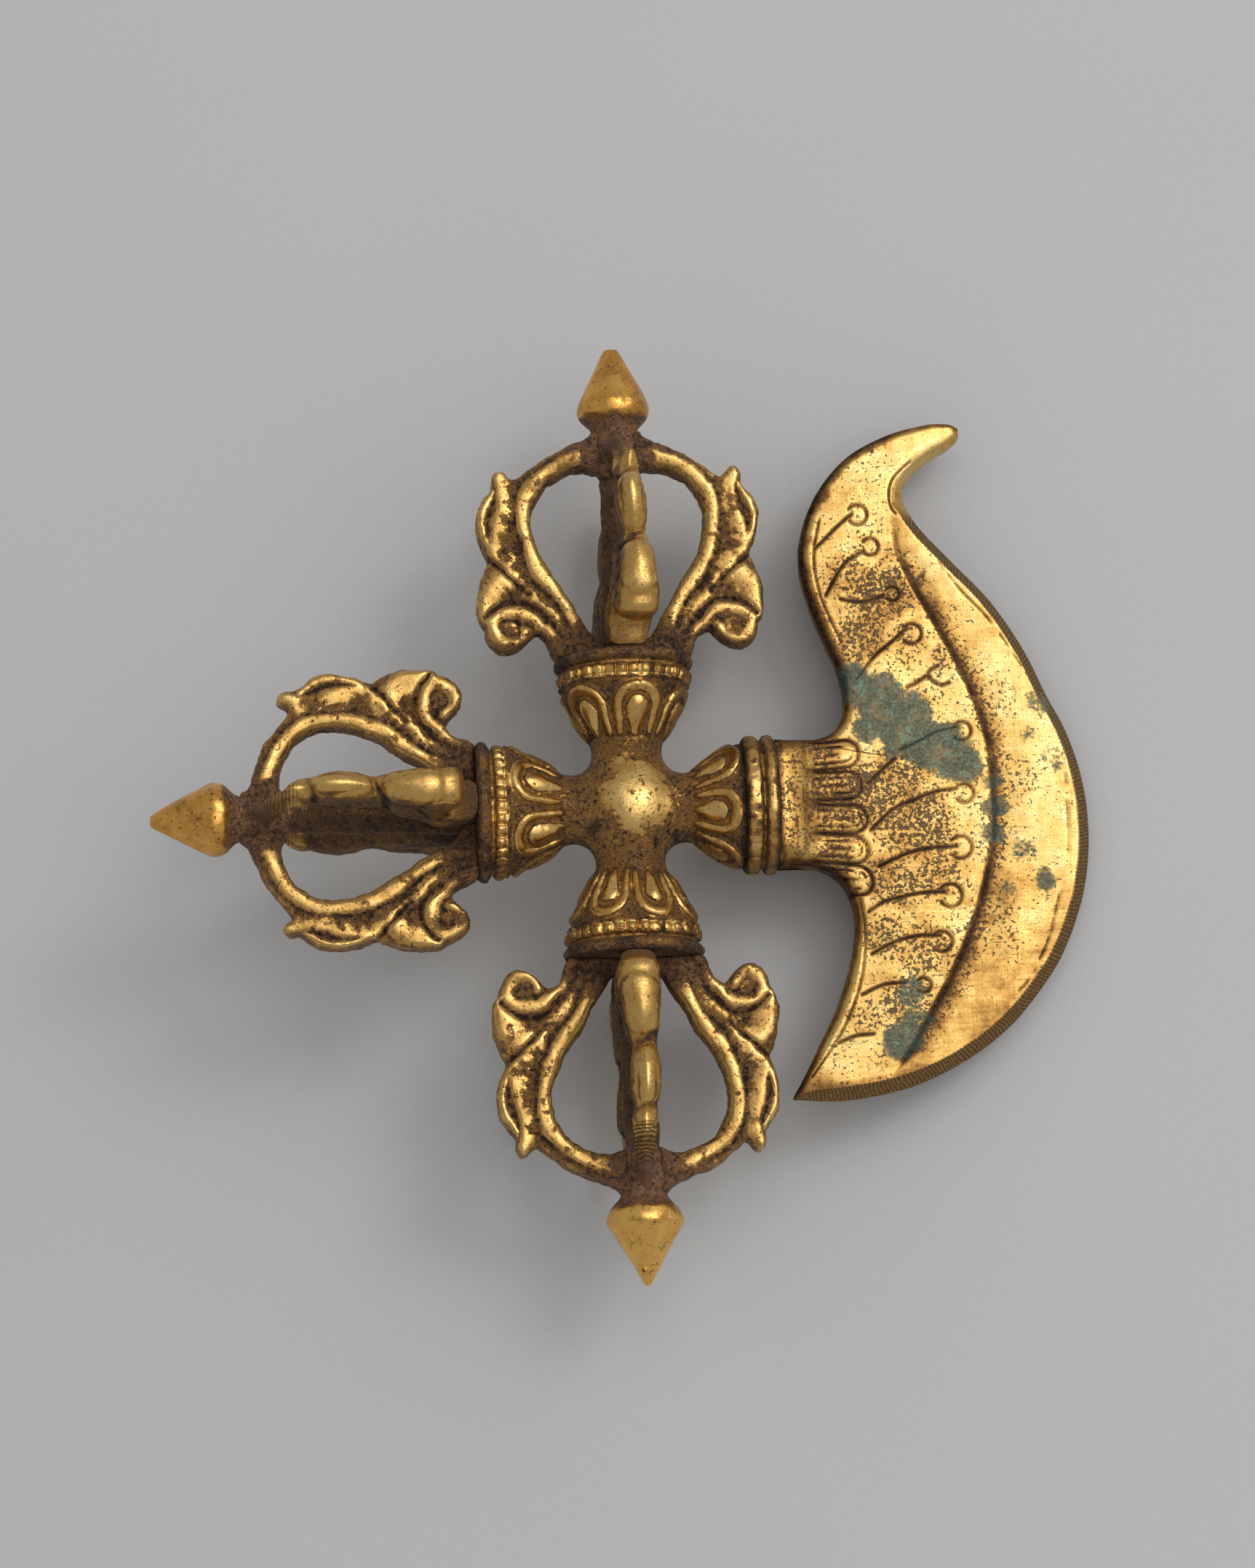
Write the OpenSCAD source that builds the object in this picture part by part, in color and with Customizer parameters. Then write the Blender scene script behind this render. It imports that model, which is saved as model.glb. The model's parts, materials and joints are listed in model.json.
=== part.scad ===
// Kartika chopper: a crossed vajra handle with a crescent blade, in brass.
// Before it is laid down, X runs out along the blade's arm, Y towards the blade's
// horn and Z out of the front. Each arm is drawn along X and turned to its place.

/* [Hub] */
// Radius of the ball where the four arms cross
hub_r = 7.9; // [7.2:0.1:8]
// Distance from the middle of the hub to the seat of each cup
hub_seat = 8.2; // [8:0.1:9]
// Radius of the neck between the hub and a cup
neck_r = 4.8; // [4.4:0.1:5.2]
// Radius of the round tenon that holds a cup in the hub
tenon_r = 2.2; // [1.5:0.1:2.6]
// Length of that tenon
tenon_l = 4; // [2:0.1:4.4]
// Gap left for solder round every tenon and lug
solder_gap = 0.1; // [0.05:0.05:0.2]

/* [Lotus cups] */
// Distance from the middle of the hub to the seat on a vajra's cup
cup_seat = 21.2; // [20.5:0.1:22]
// Radius of a vajra's cup at its rim
cup_r = 9.8; // [9.4:0.1:10.2]
// Height of the rim moulding of a cup
rim_h = 2.2; // [1.8:0.1:2.6]
// Height of the beaded band under the rim
band_h = 2; // [1.9:0.1:2.4]
// Depth of the beaded band under the rim's face
band_deep = 0.9; // [0.6:0.1:1.1]
// Number of beads round a cup
bead_count = 24; // [20:1:26]
// Radius of a bead
bead_r = 0.95; // [0.8:0.05:1]
// Number of petals round a cup
petal_count = 8; // [6:1:10]
// Height that the petals stand proud of a cup
petal_lift = 0.55; // [0.3:0.05:0.8]
// Width of a petal's raised border
petal_border = 0.7; // [0.5:0.05:0.9]

/* [Vajra prongs] */
// Distance from the middle of the hub to the prongs' far ends
prong_end = 51.8; // [50:0.1:53]
// Distance from the arm's axis to the middle line of a prong's bow
bow_r = 13.8; // [13:0.1:14.6]
// Distance from the arm's axis to the middle of a prong's foot
foot_r = 7; // [6.6:0.1:7.2]
// Width of a prong
prong_w = 4.4; // [3.8:0.1:4.8]
// Width of the block at a prong's foot
foot_w = 5.8; // [4.8:0.1:6]
// Depth of a prong's bow, from its inner to its outer side
bow_deep = 3.7; // [3.3:0.1:4]
// Distance from the arm's axis to the outside of a prong's lobe
lobe_reach = 20.1; // [19.6:0.1:20.6]
// Radius of the lug that holds a prong's foot in the cup
lug_r = 1.2; // [0.8:0.1:1.5]
// Length of that lug
lug_l = 2; // [1:0.1:2.5]

/* [Posts and tips] */
// Width of a centre post at its foot, from corner to corner
post_foot_w = 6; // [5:0.1:7]
// Width of a centre post at its top, from corner to corner
post_top_w = 4.4; // [3.8:0.1:4.6]
// Radius of the tenons at a post's two ends
post_tenon_r = 1.1; // [0.8:0.1:1.4]
// Length of those tenons
post_tenon_l = 3; // [1:0.1:3.5]
// Radius of a tip's core, which the prongs' ends lie on
core_r = 2.35; // [2.2:0.05:2.5]
// Length of that core
core_l = 4.6; // [4.2:0.1:5]
// Radius of a tip's waist
waist_r = 3.3; // [3:0.1:3.6]
// Length of that waist
waist_l = 3.2; // [2.4:0.1:3.6]
// Radius of a tip's cone at its shoulder
cone_r = 5; // [4.6:0.1:5.4]
// Distance from the middle of the hub to the end of the pommel's tip
pommel_reach = 66; // [63:0.1:68]
// Distance from the middle of the hub to the end of the upper tip, which is worn flat
upper_reach = 65.7; // [63:0.1:67]
// Distance from the middle of the hub to the end of the lower tip
lower_reach = 66.2; // [63:0.1:68]

/* [Blade collar] */
// Distance from the middle of the hub to the back of the blade's collar
collar_seat = 15.6; // [15:0.1:16]
// Distance from the middle of the hub to the front of the blade's collar
collar_end = 20.4; // [20:0.1:21]
// Radius of the collar's two rings
collar_r = 9.6; // [9.3:0.1:10.2]
// Radius of the collar where it meets the cup and the blade
collar_root_r = 8.8; // [8.6:0.1:9.2]
// Radius of the blade's tang
tang_r = 3; // [2:0.1:3.6]
// Length of the tang behind the blade's neck
tang_l = 8.6; // [6:0.1:9]

/* [Blade] */
// Distance from the middle of the hub to the farthest point of the cutting edge
blade_reach = 63.7; // [61:0.1:67]
// Radius of the round stretch of the cutting edge
edge_r = 37.5; // [36.5:0.1:38.5]
// Distance that the round stretch's centre lies to the lower side of the arm's axis
edge_low = 4.1; // [3:0.1:5]
// Thickness of the blade
blade_t = 4.8; // [4:0.1:5.6]
// Thickness left at the cutting edge
edge_t = 0.8; // [0.5:0.1:1.2]
// Width of the ground bevel on the front
bevel_w = 1.6; // [1:0.1:2]
// Width of the ground bevel on the back
back_bevel_w = 1.3; // [0.8:0.1:1.6]
// Radius of the fuller groove's arc
groove_r = 50.7; // [49.5:0.1:51.5]
// Depth of the fuller groove
groove_deep = 0.9; // [0.4:0.1:1.2]
// Width of the hollow on the outer side of the fuller groove
hollow_w = 4; // [3:0.1:5]
// Width of the neck that carries the blade
blade_neck_w = 17.6; // [17:0.1:18]
// Thickness of that neck at the collar
blade_neck_t = 9.6; // [8:0.1:12]
// Number of tongues in the fan at the blade's root
tongue_count = 5; // [4:1:5]
// Spacing of those tongues
tongue_pitch = 3.7; // [3.6:0.1:3.8]
// Radius of a tongue's rounded ridge
tongue_r = 1.7; // [1.4:0.1:1.75]

/* [Hidden] */
$fn = 48;
brass = [0.80, 0.62, 0.30];
worn_brass = [0.90, 0.74, 0.42];
dark_brass = [0.42, 0.30, 0.18];

// Turns about X that bring a prong from the left side to each other side of its arm
front_turn = 90;
back_turn = -90;
right_turn = 180;
// Turns about Z that bring an arm from the blade's side to its place
upper_turn = 90;
pommel_turn = 180;
lower_turn = -90;

// Lengths along an arm
prong_run = prong_end - cup_seat;
waist_from = prong_end + 0.1;
core_from = waist_from - core_l;
cone_from = waist_from + waist_l;
cone_shoulder = 2.2;
tang_end = collar_end - tang_l;
band_from = cup_seat - rim_h - band_h;
bead_at = band_from + band_h / 2;

// A swept bar has this many sides, and its corners are drawn out this much
bar_sides = 8;
trim_sides = 6;
corner_power = 0.8;
trim_out = pow(cos(180 / trim_sides), corner_power);
trim_flat = pow(sin(180 / trim_sides), corner_power);

// The back prongs' lobes and the blade's back corner carry the part when it lies down
lobe_w = 3.7;
lobe_t = 4;
lobe_flat = trim_flat * lobe_t / 2;
rest_tilt = atan((lobe_reach - blade_t / 2) / (blade_reach - back_bevel_w - lobe_flat));
rest_drop = lobe_reach * cos(rest_tilt) + lobe_flat * sin(rest_tilt);
rest_x = (blade_reach - pommel_reach) * cos(rest_tilt) / 2;
rest_y = (upper_reach - lower_reach) / 2;

// Smooth curve through its own points, of any number of values each
function between(p, q, r, s, t) =
    (2 * q + (r - p) * t + (2 * p - 5 * q + 4 * r - s) * t * t
    + (3 * q - p - 3 * r + s) * t * t * t) / 2;
function curve(points, steps) = let (last = len(points) - 1)
    [for (i = [0 : last - 1], s = [0 : steps - 1])
        between(points[max(i - 1, 0)], points[i], points[i + 1], points[min(i + 2, last)], s / steps),
    points[last]];

function unit(v) = v / norm(v);
function drawn(v) = sign(v) * pow(abs(v), corner_power);
function smooth_step(t) = t * t * (3 - 2 * t);

// A bar along stations of [along, across, half depth, half width] in the XY plane
module bar(stations, sides, steps = 2) {
    path = curve(stations, steps);
    last = len(path) - 1;
    points = [for (i = [0 : last])
        let (here = path[i],
            ahead = path[min(i + 1, last)] - path[max(i - 1, 0)],
            way = unit([ahead.x, ahead.y]),
            across = [-way.y, way.x])
        for (k = [0 : sides - 1])
            let (turn = 360 * (k + 0.5) / sides,
                side = [here.x, here.y] + across * here[2] * drawn(cos(turn)))
            [side.x, side.y, here[3] * drawn(sin(turn))]];
    faces = concat(
        [[for (k = [0 : sides - 1]) k]],
        [for (i = [0 : last - 1], k = [0 : sides - 1])
            let (next = (k + 1) % sides)
            [i * sides + k, (i + 1) * sides + k, (i + 1) * sides + next, i * sides + next]],
        [[for (k = [sides - 1 : -1 : 0]) last * sides + k]]);
    polyhedron(points, faces, convexity = 4);
}

// A solid turned about X from a profile of [radius, distance along X]
module turned(profile) rotate([0, 90, 0]) rotate_extrude() polygon(profile);

// A round rod along X
module rod(r, from, to) translate([from, 0, 0]) rotate([0, 90, 0]) cylinder(r = r, h = to - from);

// Lays the finished part down on its back prongs and the blade's edge
module laid_down() translate([-rest_x, -rest_y, rest_drop]) rotate([0, rest_tilt, 0]) children();

module arm(turn) laid_down() rotate([0, 0, turn]) children();

// Bell of a cup, from the hub to a wide end, raised by lift
function bell(from, to, wide, lift = 0) = [for (t = [0 : 0.2 : 1])
    [neck_r + (wide - neck_r) * (t + smooth_step(t)) / 2 + lift, from + (to - from) * t]];

// Outline of one petal, pulled in by inset, with its round end towards the rim
module petal_shape(from, to, half, inset) {
    round_r = half - inset;
    top = to - half;
    polygon(concat([[from + inset, -0.55 * round_r]],
        [for (turn = [-90 : 36 : 90]) [top + round_r * cos(turn), round_r * sin(turn)]],
        [[from + inset, 0.55 * round_r]]));
}

// Petals round a bell: a raised border and a boss inside it
module petals(from, to, bell_to, wide) {
    half = PI * (wide - petal_lift) / petal_count - 0.35;
    intersection() {
        turned(concat([[0, from]], bell(hub_seat, bell_to, wide, petal_lift), [[0, bell_to]]));
        for (k = [0 : petal_count - 1])
            rotate([360 * (k + 0.5) / petal_count, 0, 0])
                linear_extrude(height = wide + 2) {
                    difference() {
                        petal_shape(from, to, half, 0);
                        petal_shape(from, to, half, petal_border);
                    }
                    petal_shape(from, to, half, 2 * petal_border);
                }
    }
}

module hub() color(worn_brass) laid_down() difference() {
    union() {
        sphere(r = hub_r);
        for (turn = [0 : 90 : 270])
            rotate([0, 0, turn])
                turned([[0, 0], [hub_r - 1.6, 5], [neck_r + 0.9, 6], [neck_r + 0.35, 7], [neck_r, hub_seat],
                    [0, hub_seat]]);
    }
    for (turn = [0 : 90 : 270])
        rotate([0, 0, turn]) rod(tenon_r + solder_gap, hub_seat - tenon_l - solder_gap, hub_seat + 1);
}

module vajra_cup(turn) color(brass) arm(turn) {
    bell_r = cup_r - 0.8;
    bead_out = cup_r - bead_r;
    difference() {
        union() {
            turned(concat([[0, hub_seat]], bell(hub_seat, band_from, bell_r), [
                [cup_r - band_deep, band_from], [cup_r - band_deep, band_from + band_h + 0.3],
                [cup_r - 0.3, band_from + band_h + 0.6], [cup_r, band_from + band_h + 1.1],
                [cup_r, cup_seat - 0.5], [cup_r - 0.5, cup_seat], [0, cup_seat]]));
            petals(hub_seat + 1.4, band_from - 0.4, band_from, bell_r);
            rod(tenon_r, hub_seat - tenon_l, hub_seat + 1);
            for (k = [0 : bead_count - 1])
                rotate([360 * k / bead_count, 0, 0])
                    translate([bead_at, 0, bead_out]) sphere(r = bead_r);
        }
        rod(post_tenon_r + solder_gap, cup_seat - post_tenon_l - solder_gap, cup_seat + 1);
        for (k = [0 : 90 : 270])
            rotate([k, 0, 0]) translate([0, foot_r, 0])
                rod(lug_r + solder_gap, cup_seat - lug_l - solder_gap, cup_seat + 1);
    }
}

// Square post that tapers from the cup to the tip, with a tenon at each end
module post(turn) color(dark_brass) arm(turn) {
    translate([cup_seat, 0, 0]) rotate([0, 90, 0])
        cylinder(r1 = post_foot_w / 2, r2 = post_top_w / 2, h = core_from - cup_seat, $fn = 4);
    rod(post_tenon_r, cup_seat - post_tenon_l, cup_seat + 1);
    rod(post_tenon_r, core_from - 1, core_from + post_tenon_l);
}

module tip(turn, reach, worn_r) color(brass) arm(turn) difference() {
    turned([[0, core_from], [core_r, core_from], [core_r, waist_from],
        [waist_r + 0.5, waist_from], [waist_r + 0.5, waist_from + 0.6], [waist_r, waist_from + 1],
        [waist_r, cone_from - 0.3], [cone_r - 0.5, cone_from], [cone_r, cone_from + 0.8],
        [cone_r, cone_from + 1.4], [cone_r - 0.4, cone_from + cone_shoulder],
        [worn_r + 0.35, reach - 0.4], [worn_r, reach], [0, reach]]);
    rod(post_tenon_r + solder_gap, core_from - 1, core_from + post_tenon_l + solder_gap);
}

// Bowed prong on the left side of its arm: the bow, and the leaf, lobe and scroll outside it
module prong(turn, side) color(brass) arm(turn) rotate([side, 0, 0]) {
    deep = bow_deep / 2;
    wide = prong_w / 2;
    end_r = core_r + 1.1;
    swell = bow_r - end_r;
    bar([[cup_seat, foot_r, 2.5, foot_w / 2],
        [cup_seat + 0.09 * prong_run, foot_r - 0.2, 2.45, foot_w / 2],
        [cup_seat + 0.18 * prong_run, end_r + 0.42 * swell, deep + 0.35, wide + 0.2],
        [cup_seat + 0.30 * prong_run, end_r + 0.71 * swell, deep + 0.1, wide],
        [cup_seat + 0.45 * prong_run, end_r + 0.93 * swell, deep, wide],
        [cup_seat + 0.60 * prong_run, bow_r, deep, wide],
        [cup_seat + 0.74 * prong_run, end_r + 0.88 * swell, deep, wide],
        [cup_seat + 0.84 * prong_run, end_r + 0.55 * swell, deep, wide],
        [cup_seat + 0.90 * prong_run, end_r + 0.20 * swell, deep - 0.2, wide - 0.1],
        [cup_seat + 0.95 * prong_run, end_r + 0.03 * swell, deep - 0.55, wide - 0.25],
        [prong_end, end_r, 1, wide - 0.4]], bar_sides);
    web_r = (bow_r + lobe_reach) / 2;
    bar([[cup_seat + 0.13 * prong_run, web_r - 3.6, 1, 1.3],
        [cup_seat + 0.25 * prong_run, web_r - 1.8, 2.4, 1.5],
        [cup_seat + 0.42 * prong_run, web_r - 1.2, 2.6, 1.5],
        [cup_seat + 0.60 * prong_run, web_r - 1, 2.2, 1.5],
        [cup_seat + 0.74 * prong_run, web_r - 1.4, 1.8, 1.4],
        [cup_seat + 0.82 * prong_run, web_r - 2, 0.7, 1]], trim_sides, 1);
    leaf_r = lobe_reach - 2.7;
    leaf_w = wide - 0.4;
    bar([[cup_seat + 0.45 * prong_run, bow_r + 1, 0.8, leaf_w],
        [cup_seat + 0.52 * prong_run, leaf_r - 0.8, 1.8, leaf_w],
        [cup_seat + 0.61 * prong_run, leaf_r, 2.2, leaf_w],
        [cup_seat + 0.70 * prong_run, leaf_r - 0.4, 1.9, leaf_w],
        [cup_seat + 0.79 * prong_run, leaf_r - 0.8, 1.2, leaf_w - 0.4],
        [cup_seat + 0.86 * prong_run, leaf_r - 0.6, 0.3, 0.6]], trim_sides);
    lobe_r = lobe_reach - trim_out * lobe_w / 2;
    bar([[cup_seat + 0.44 * prong_run, bow_r + 1.6, 1, lobe_t / 2 - 0.5],
        [cup_seat + 0.35 * prong_run, lobe_r - 1.2, lobe_w / 2, lobe_t / 2],
        [cup_seat + 0.26 * prong_run, lobe_r, lobe_w / 2, lobe_t / 2],
        [cup_seat + 0.19 * prong_run, lobe_r - 0.4, lobe_w / 2 - 0.5, lobe_t / 2 - 0.3]], trim_sides);
    scroll_at = [cup_seat + 0.14 * prong_run, bow_r + 1.6];
    scroll_r = 2;
    bar(concat([[cup_seat + 0.40 * prong_run, bow_r + 0.5, 0.9, wide],
            [cup_seat + 0.31 * prong_run, bow_r + 0.6, 1.5, wide + 0.2]],
        [for (turn = [-70 : -50 : -320])
            [scroll_at.x + scroll_r * cos(turn), scroll_at.y + scroll_r * sin(turn), 1.25, wide + 0.3]]),
        trim_sides);
    bar([for (along = [-1, -0.6, 0, 0.6, 1]) let (left = sqrt(1.1 - along * along))
        [scroll_at.x + along * wide, scroll_at.y, left * wide, left * wide]], bar_sides, 1);
    bar([for (along = [cup_seat - lug_l, cup_seat + 1]) [along, foot_r, lug_r, lug_r]], bar_sides, 1);
}

module blade_cup() color(brass) laid_down() difference() {
    union() {
        turned(concat([[0, hub_seat]], bell(hub_seat, collar_seat, collar_root_r), [[0, collar_seat]]));
        petals(hub_seat + 0.6, collar_seat - 0.4, collar_seat, collar_root_r);
        rod(tenon_r, hub_seat - tenon_l, hub_seat + 1);
    }
    rod(tang_r + solder_gap, tang_end - solder_gap, collar_seat + 1);
}

// Two rings side by side, the one next to the cup beaded
module blade_collar() color(worn_brass) laid_down() difference() {
    ring_split = collar_seat + 0.55 * (collar_end - collar_seat);
    bead_ring = (collar_seat + ring_split) / 2;
    union() {
        turned([[0, collar_seat], [collar_root_r, collar_seat], [collar_r - 0.5, collar_seat + 0.4],
            [collar_r - 0.5, ring_split - 0.5], [collar_r - 0.9, ring_split - 0.3],
            [collar_r - 0.9, ring_split], [collar_r - 0.2, ring_split + 0.3], [collar_r, ring_split + 0.9],
            [collar_r - 0.2, collar_end - 0.4], [collar_root_r, collar_end], [0, collar_end]]);
        for (k = [0 : bead_count - 1])
            rotate([360 * k / bead_count, 0, 0])
                translate([bead_ring, 0, collar_r - bead_r]) sphere(r = bead_r);
    }
    rod(tang_r + solder_gap, collar_seat - 1, collar_end + 1);
}

// Stations across the blade, from the lower tip to the horn's tip: [spine x, spine y, edge x, edge y]
edge_mid = [blade_reach - edge_r, -edge_low];
neck_half = blade_neck_w / 2;
function round_edge(x, y, turn) = [x, y, edge_mid.x + edge_r * cos(turn), edge_mid.y + edge_r * sin(turn)];
ribs = curve([round_edge(21, -40.9, -97.5), round_edge(22.6, -38.2, -87),
    round_edge(24.7, -34.2, -73.5), round_edge(27.5, -28.8, -60), round_edge(29.5, -23.3, -46.5),
    round_edge(30.6, -17.7, -33.5), round_edge(30.2, -neck_half - 4.4, -22.7),
    round_edge(28.6, -neck_half - 1.6, -12.8), round_edge(24, -neck_half, -5),
    round_edge(24, neck_half, 7), round_edge(28.6, neck_half + 0.8, 14.8),
    round_edge(30.3, neck_half + 3.8, 22.7), round_edge(30.1, 17.4, 29.6), [28.2, 22.5, 55.9, 21.1],
    [26.2, 28, 51.6, 28.1], [25.1, 33.6, 46.3, 34.1], [25.6, 38.4, 42, 39.1], [28.1, 43.7, 39.9, 43],
    [32.7, 48.5, 41.1, 46.1], [38.5, 51.7, 44.4, 48.5], [44, 53, 47.3, 50.7], [47.3, 53, 48.6, 52.2],
    [48.1, 52.9, 48.8, 52.6]], 2);

// Middle of the fuller groove's arc, and the width of blade at which its section is full
groove_mid = [blade_reach - 13.1 - groove_r, 1.5];
full_w = 8;

// One section of the blade: spine, back, edge, bevel, hollow, groove and front, in turn
function section(rib) =
    let (spine = [rib[0], rib[1]],
        w = norm([rib[2], rib[3]] - spine),
        way = ([rib[2], rib[3]] - spine) / w,
        k = min(1, w / full_w),
        half = blade_t / 2 * (0.5 + 0.5 * k),
        bevel = k * bevel_w,
        edge = k * edge_t / 2,
        off = spine - groove_mid,
        crossing = sqrt(max(0, pow(off * way, 2) - off * off + groove_r * groove_r)) - off * way,
        deep = norm(off) > groove_r ? 0 : groove_deep * max(0, min(1, (w - bevel - crossing - 1) / 2)),
        groove = max(2.1 * k, min(crossing, w - bevel - 1.4 * k)),
        hollow = min(groove + hollow_w, w - bevel - 0.2 * k))
    [for (p = [[0, 0.9 * k - half], [0.8 * k, -half], [w - k * back_bevel_w, -half], [w, -edge], [w, edge],
        [w - bevel, half], [hollow, half], [groove + 0.9 * k, half - 0.6 * deep], [groove, half - deep],
        [groove - 0.8 * k, half], [1.1 * k, half], [0, half - 0.9 * k]])
        [spine.x + way.x * p.x, spine.y + way.y * p.x, p.y]];

module blade_body() {
    sections = [for (rib = ribs) section(rib)];
    m = len(sections[0]);
    last = len(sections) - 1;
    faces = concat([[for (j = [m - 1 : -1 : 0]) j]],
        [for (i = [0 : last - 1], j = [0 : m - 1])
            let (next = (j + 1) % m) [i * m + j, i * m + next, (i + 1) * m + next, (i + 1) * m + j]],
        [[for (j = [0 : m - 1]) last * m + j]]);
    polyhedron([for (ring = sections, p = ring) p], faces, convexity = 6);
}

module blade_neck() {
    bar([[collar_end, 0, neck_half, blade_neck_t / 2],
        [collar_end + 3, 0, neck_half - 0.2, blade_neck_t / 2 - 0.5],
        [collar_end + 6, 0, neck_half, blade_neck_t / 2 - 1.2],
        [collar_end + 10, 0, neck_half + 0.4, blade_t / 2 + 0.3]], 16);
}

// Fan of low rounded tongues on the front of the blade's root
module tongues() {
    tongue_l = 5;
    tongue_from = collar_end + 5.6;
    sink = tongue_r - 0.7;
    rise = blade_neck_t / 2 - 1.8;
    drop = atan((rise - blade_t / 2) / (tongue_l + tongue_r));
    for (k = [0 : tongue_count - 1])
        translate([tongue_from, (k - (tongue_count - 1) / 2) * tongue_pitch, rise - sink])
            rotate([0, drop, 0]) {
                rod(tongue_r, 0, tongue_l);
                sphere(r = tongue_r);
                translate([tongue_l, 0, 0]) sphere(r = tongue_r);
            }
}

module blade() color(worn_brass) laid_down() {
    blade_body();
    blade_neck();
    tongues();
    rod(tang_r, tang_end, collar_end + 1);
}

hub();

vajra_cup(upper_turn);  // upper_cup
post(upper_turn);  // upper_post
tip(upper_turn, upper_reach, 1);  // upper_tip
prong(upper_turn, front_turn);  // upper_front_prong
prong(upper_turn, back_turn);  // upper_back_prong
prong(upper_turn, 0);  // upper_left_prong
prong(upper_turn, right_turn);  // upper_right_prong

vajra_cup(pommel_turn);  // pommel_cup
post(pommel_turn);  // pommel_post
tip(pommel_turn, pommel_reach, 0.3);  // pommel_tip
prong(pommel_turn, front_turn);  // pommel_front_prong
prong(pommel_turn, back_turn);  // pommel_back_prong
prong(pommel_turn, 0);  // pommel_left_prong
prong(pommel_turn, right_turn);  // pommel_right_prong

vajra_cup(lower_turn);  // lower_cup
post(lower_turn);  // lower_post
tip(lower_turn, lower_reach, 0.3);  // lower_tip
prong(lower_turn, front_turn);  // lower_front_prong
prong(lower_turn, back_turn);  // lower_back_prong
prong(lower_turn, 0);  // lower_left_prong
prong(lower_turn, right_turn);  // lower_right_prong

blade_cup();
blade_collar();
blade();
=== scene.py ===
import json
import math
import bpy
import numpy as np
from mathutils import Matrix, Vector


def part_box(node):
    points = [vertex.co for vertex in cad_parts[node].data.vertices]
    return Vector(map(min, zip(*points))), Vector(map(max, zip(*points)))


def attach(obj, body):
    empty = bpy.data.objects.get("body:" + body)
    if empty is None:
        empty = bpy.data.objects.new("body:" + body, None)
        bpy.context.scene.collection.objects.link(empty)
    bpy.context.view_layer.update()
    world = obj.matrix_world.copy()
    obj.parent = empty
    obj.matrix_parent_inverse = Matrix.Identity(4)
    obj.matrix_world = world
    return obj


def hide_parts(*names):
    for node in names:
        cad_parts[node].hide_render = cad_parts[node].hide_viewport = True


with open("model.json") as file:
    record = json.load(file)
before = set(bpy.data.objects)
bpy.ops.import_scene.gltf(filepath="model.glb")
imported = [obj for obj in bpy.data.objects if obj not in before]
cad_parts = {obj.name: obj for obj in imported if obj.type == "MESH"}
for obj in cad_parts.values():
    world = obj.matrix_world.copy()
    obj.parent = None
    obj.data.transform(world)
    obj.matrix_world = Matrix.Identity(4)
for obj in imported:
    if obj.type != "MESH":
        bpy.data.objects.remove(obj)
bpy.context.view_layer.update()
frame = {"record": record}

# The frame
# All shapes are worked out in millimetres in the upright frame of the CAD source: X to the blade,
# Y to the horn, Z out of the front. place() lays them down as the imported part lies.
hub_low, hub_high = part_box("hub")
MIDDLE = np.array((hub_low + hub_high) / 2)
AXIS = frame["record"]["mounts"][0]["axis"]
TILT_SIN, TILT_COS = -AXIS[0], -AXIS[2]
ARMS = {"upper": 90, "pommel": 180, "lower": -90, "blade": 0}
SIDES = {"front": 90, "back": -90, "left": 0, "right": 180}
SEEDS = {"prong": 0, "cup": 300, "blade_cup": 340, "collar": 360, "tip": 400, "post": 450}


def laid(p):
    """Points or directions of the upright frame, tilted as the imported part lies."""
    x, y, z = np.asarray(p, float).T
    return np.stack([x * TILT_COS + z * TILT_SIN, y, z * TILT_COS - x * TILT_SIN], -1)


def place(p):
    return laid(p) / 1000 + MIDDLE


def turned(p, degrees, axis=2):
    """Points turned about X, Y or Z, which are axes 0, 1 and 2."""
    c, s = math.cos(math.radians(degrees)), math.sin(math.radians(degrees))
    i, j = (axis + 1) % 3, (axis + 2) % 3
    out = p.copy()
    out[:, i], out[:, j] = p[:, i] * c - p[:, j] * s, p[:, i] * s + p[:, j] * c
    return out


def seed_of(kind, arm):
    return SEEDS[kind] + list(ARMS).index(arm)


# Small maths
def smooth(t, low, high):
    """From 0 up to 1 between low and high."""
    t = np.clip((t - low) / (high - low), 0, 1)
    return t * t * (3 - 2 * t)


def fall(t, low, high):
    """From 1 down to 0 between low and high."""
    return 1 - smooth(t, low, high)


def peak(d, width):
    """1 at no distance, and next to nothing two widths away."""
    return np.exp(-(d / width) ** 2)


def unit(value):
    return np.clip(value, 0, 1)


def soft_max(a, b, k):
    h = np.maximum(k - np.abs(a - b), 0)
    return np.maximum(a, b) + h * h / (4 * k)


def soft_min(a, b, k):
    return -soft_max(-a, -b, k)


def dome(d, w, h):
    """Rounded ridge of half width w and height h at distance d from its crest."""
    return h * np.maximum(0, 1 - (d / w) ** 2) ** 0.8


def band(d, half, power):
    """Raised band with a flat top, whose sides are steeper the higher the power."""
    return np.clip(1 - np.abs(d / half) ** power, 0, 1)


def rounded(gap, r):
    """How far an edge rounded to radius r lies below the face, by the distance from the edge."""
    return np.where(gap < r, r - np.sqrt(np.maximum(0, r ** 2 - (r - gap) ** 2)), 0)


def looked_up(grid, low, step, p):
    """Values of a grid over the first two coordinates at the points p."""
    u = np.clip((p[:, :2] - low) / step, 0, np.array(grid.shape) - 1.001)
    i = u.astype(int)
    f, g = (u - i).T
    a, b, c, d = (grid[i[:, 0] + k, i[:, 1] + m] for k, m in ((0, 0), (1, 0), (0, 1), (1, 1)))
    return (a * (1 - f) + b * f) * (1 - g) + (c * (1 - f) + d * f) * g


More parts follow.
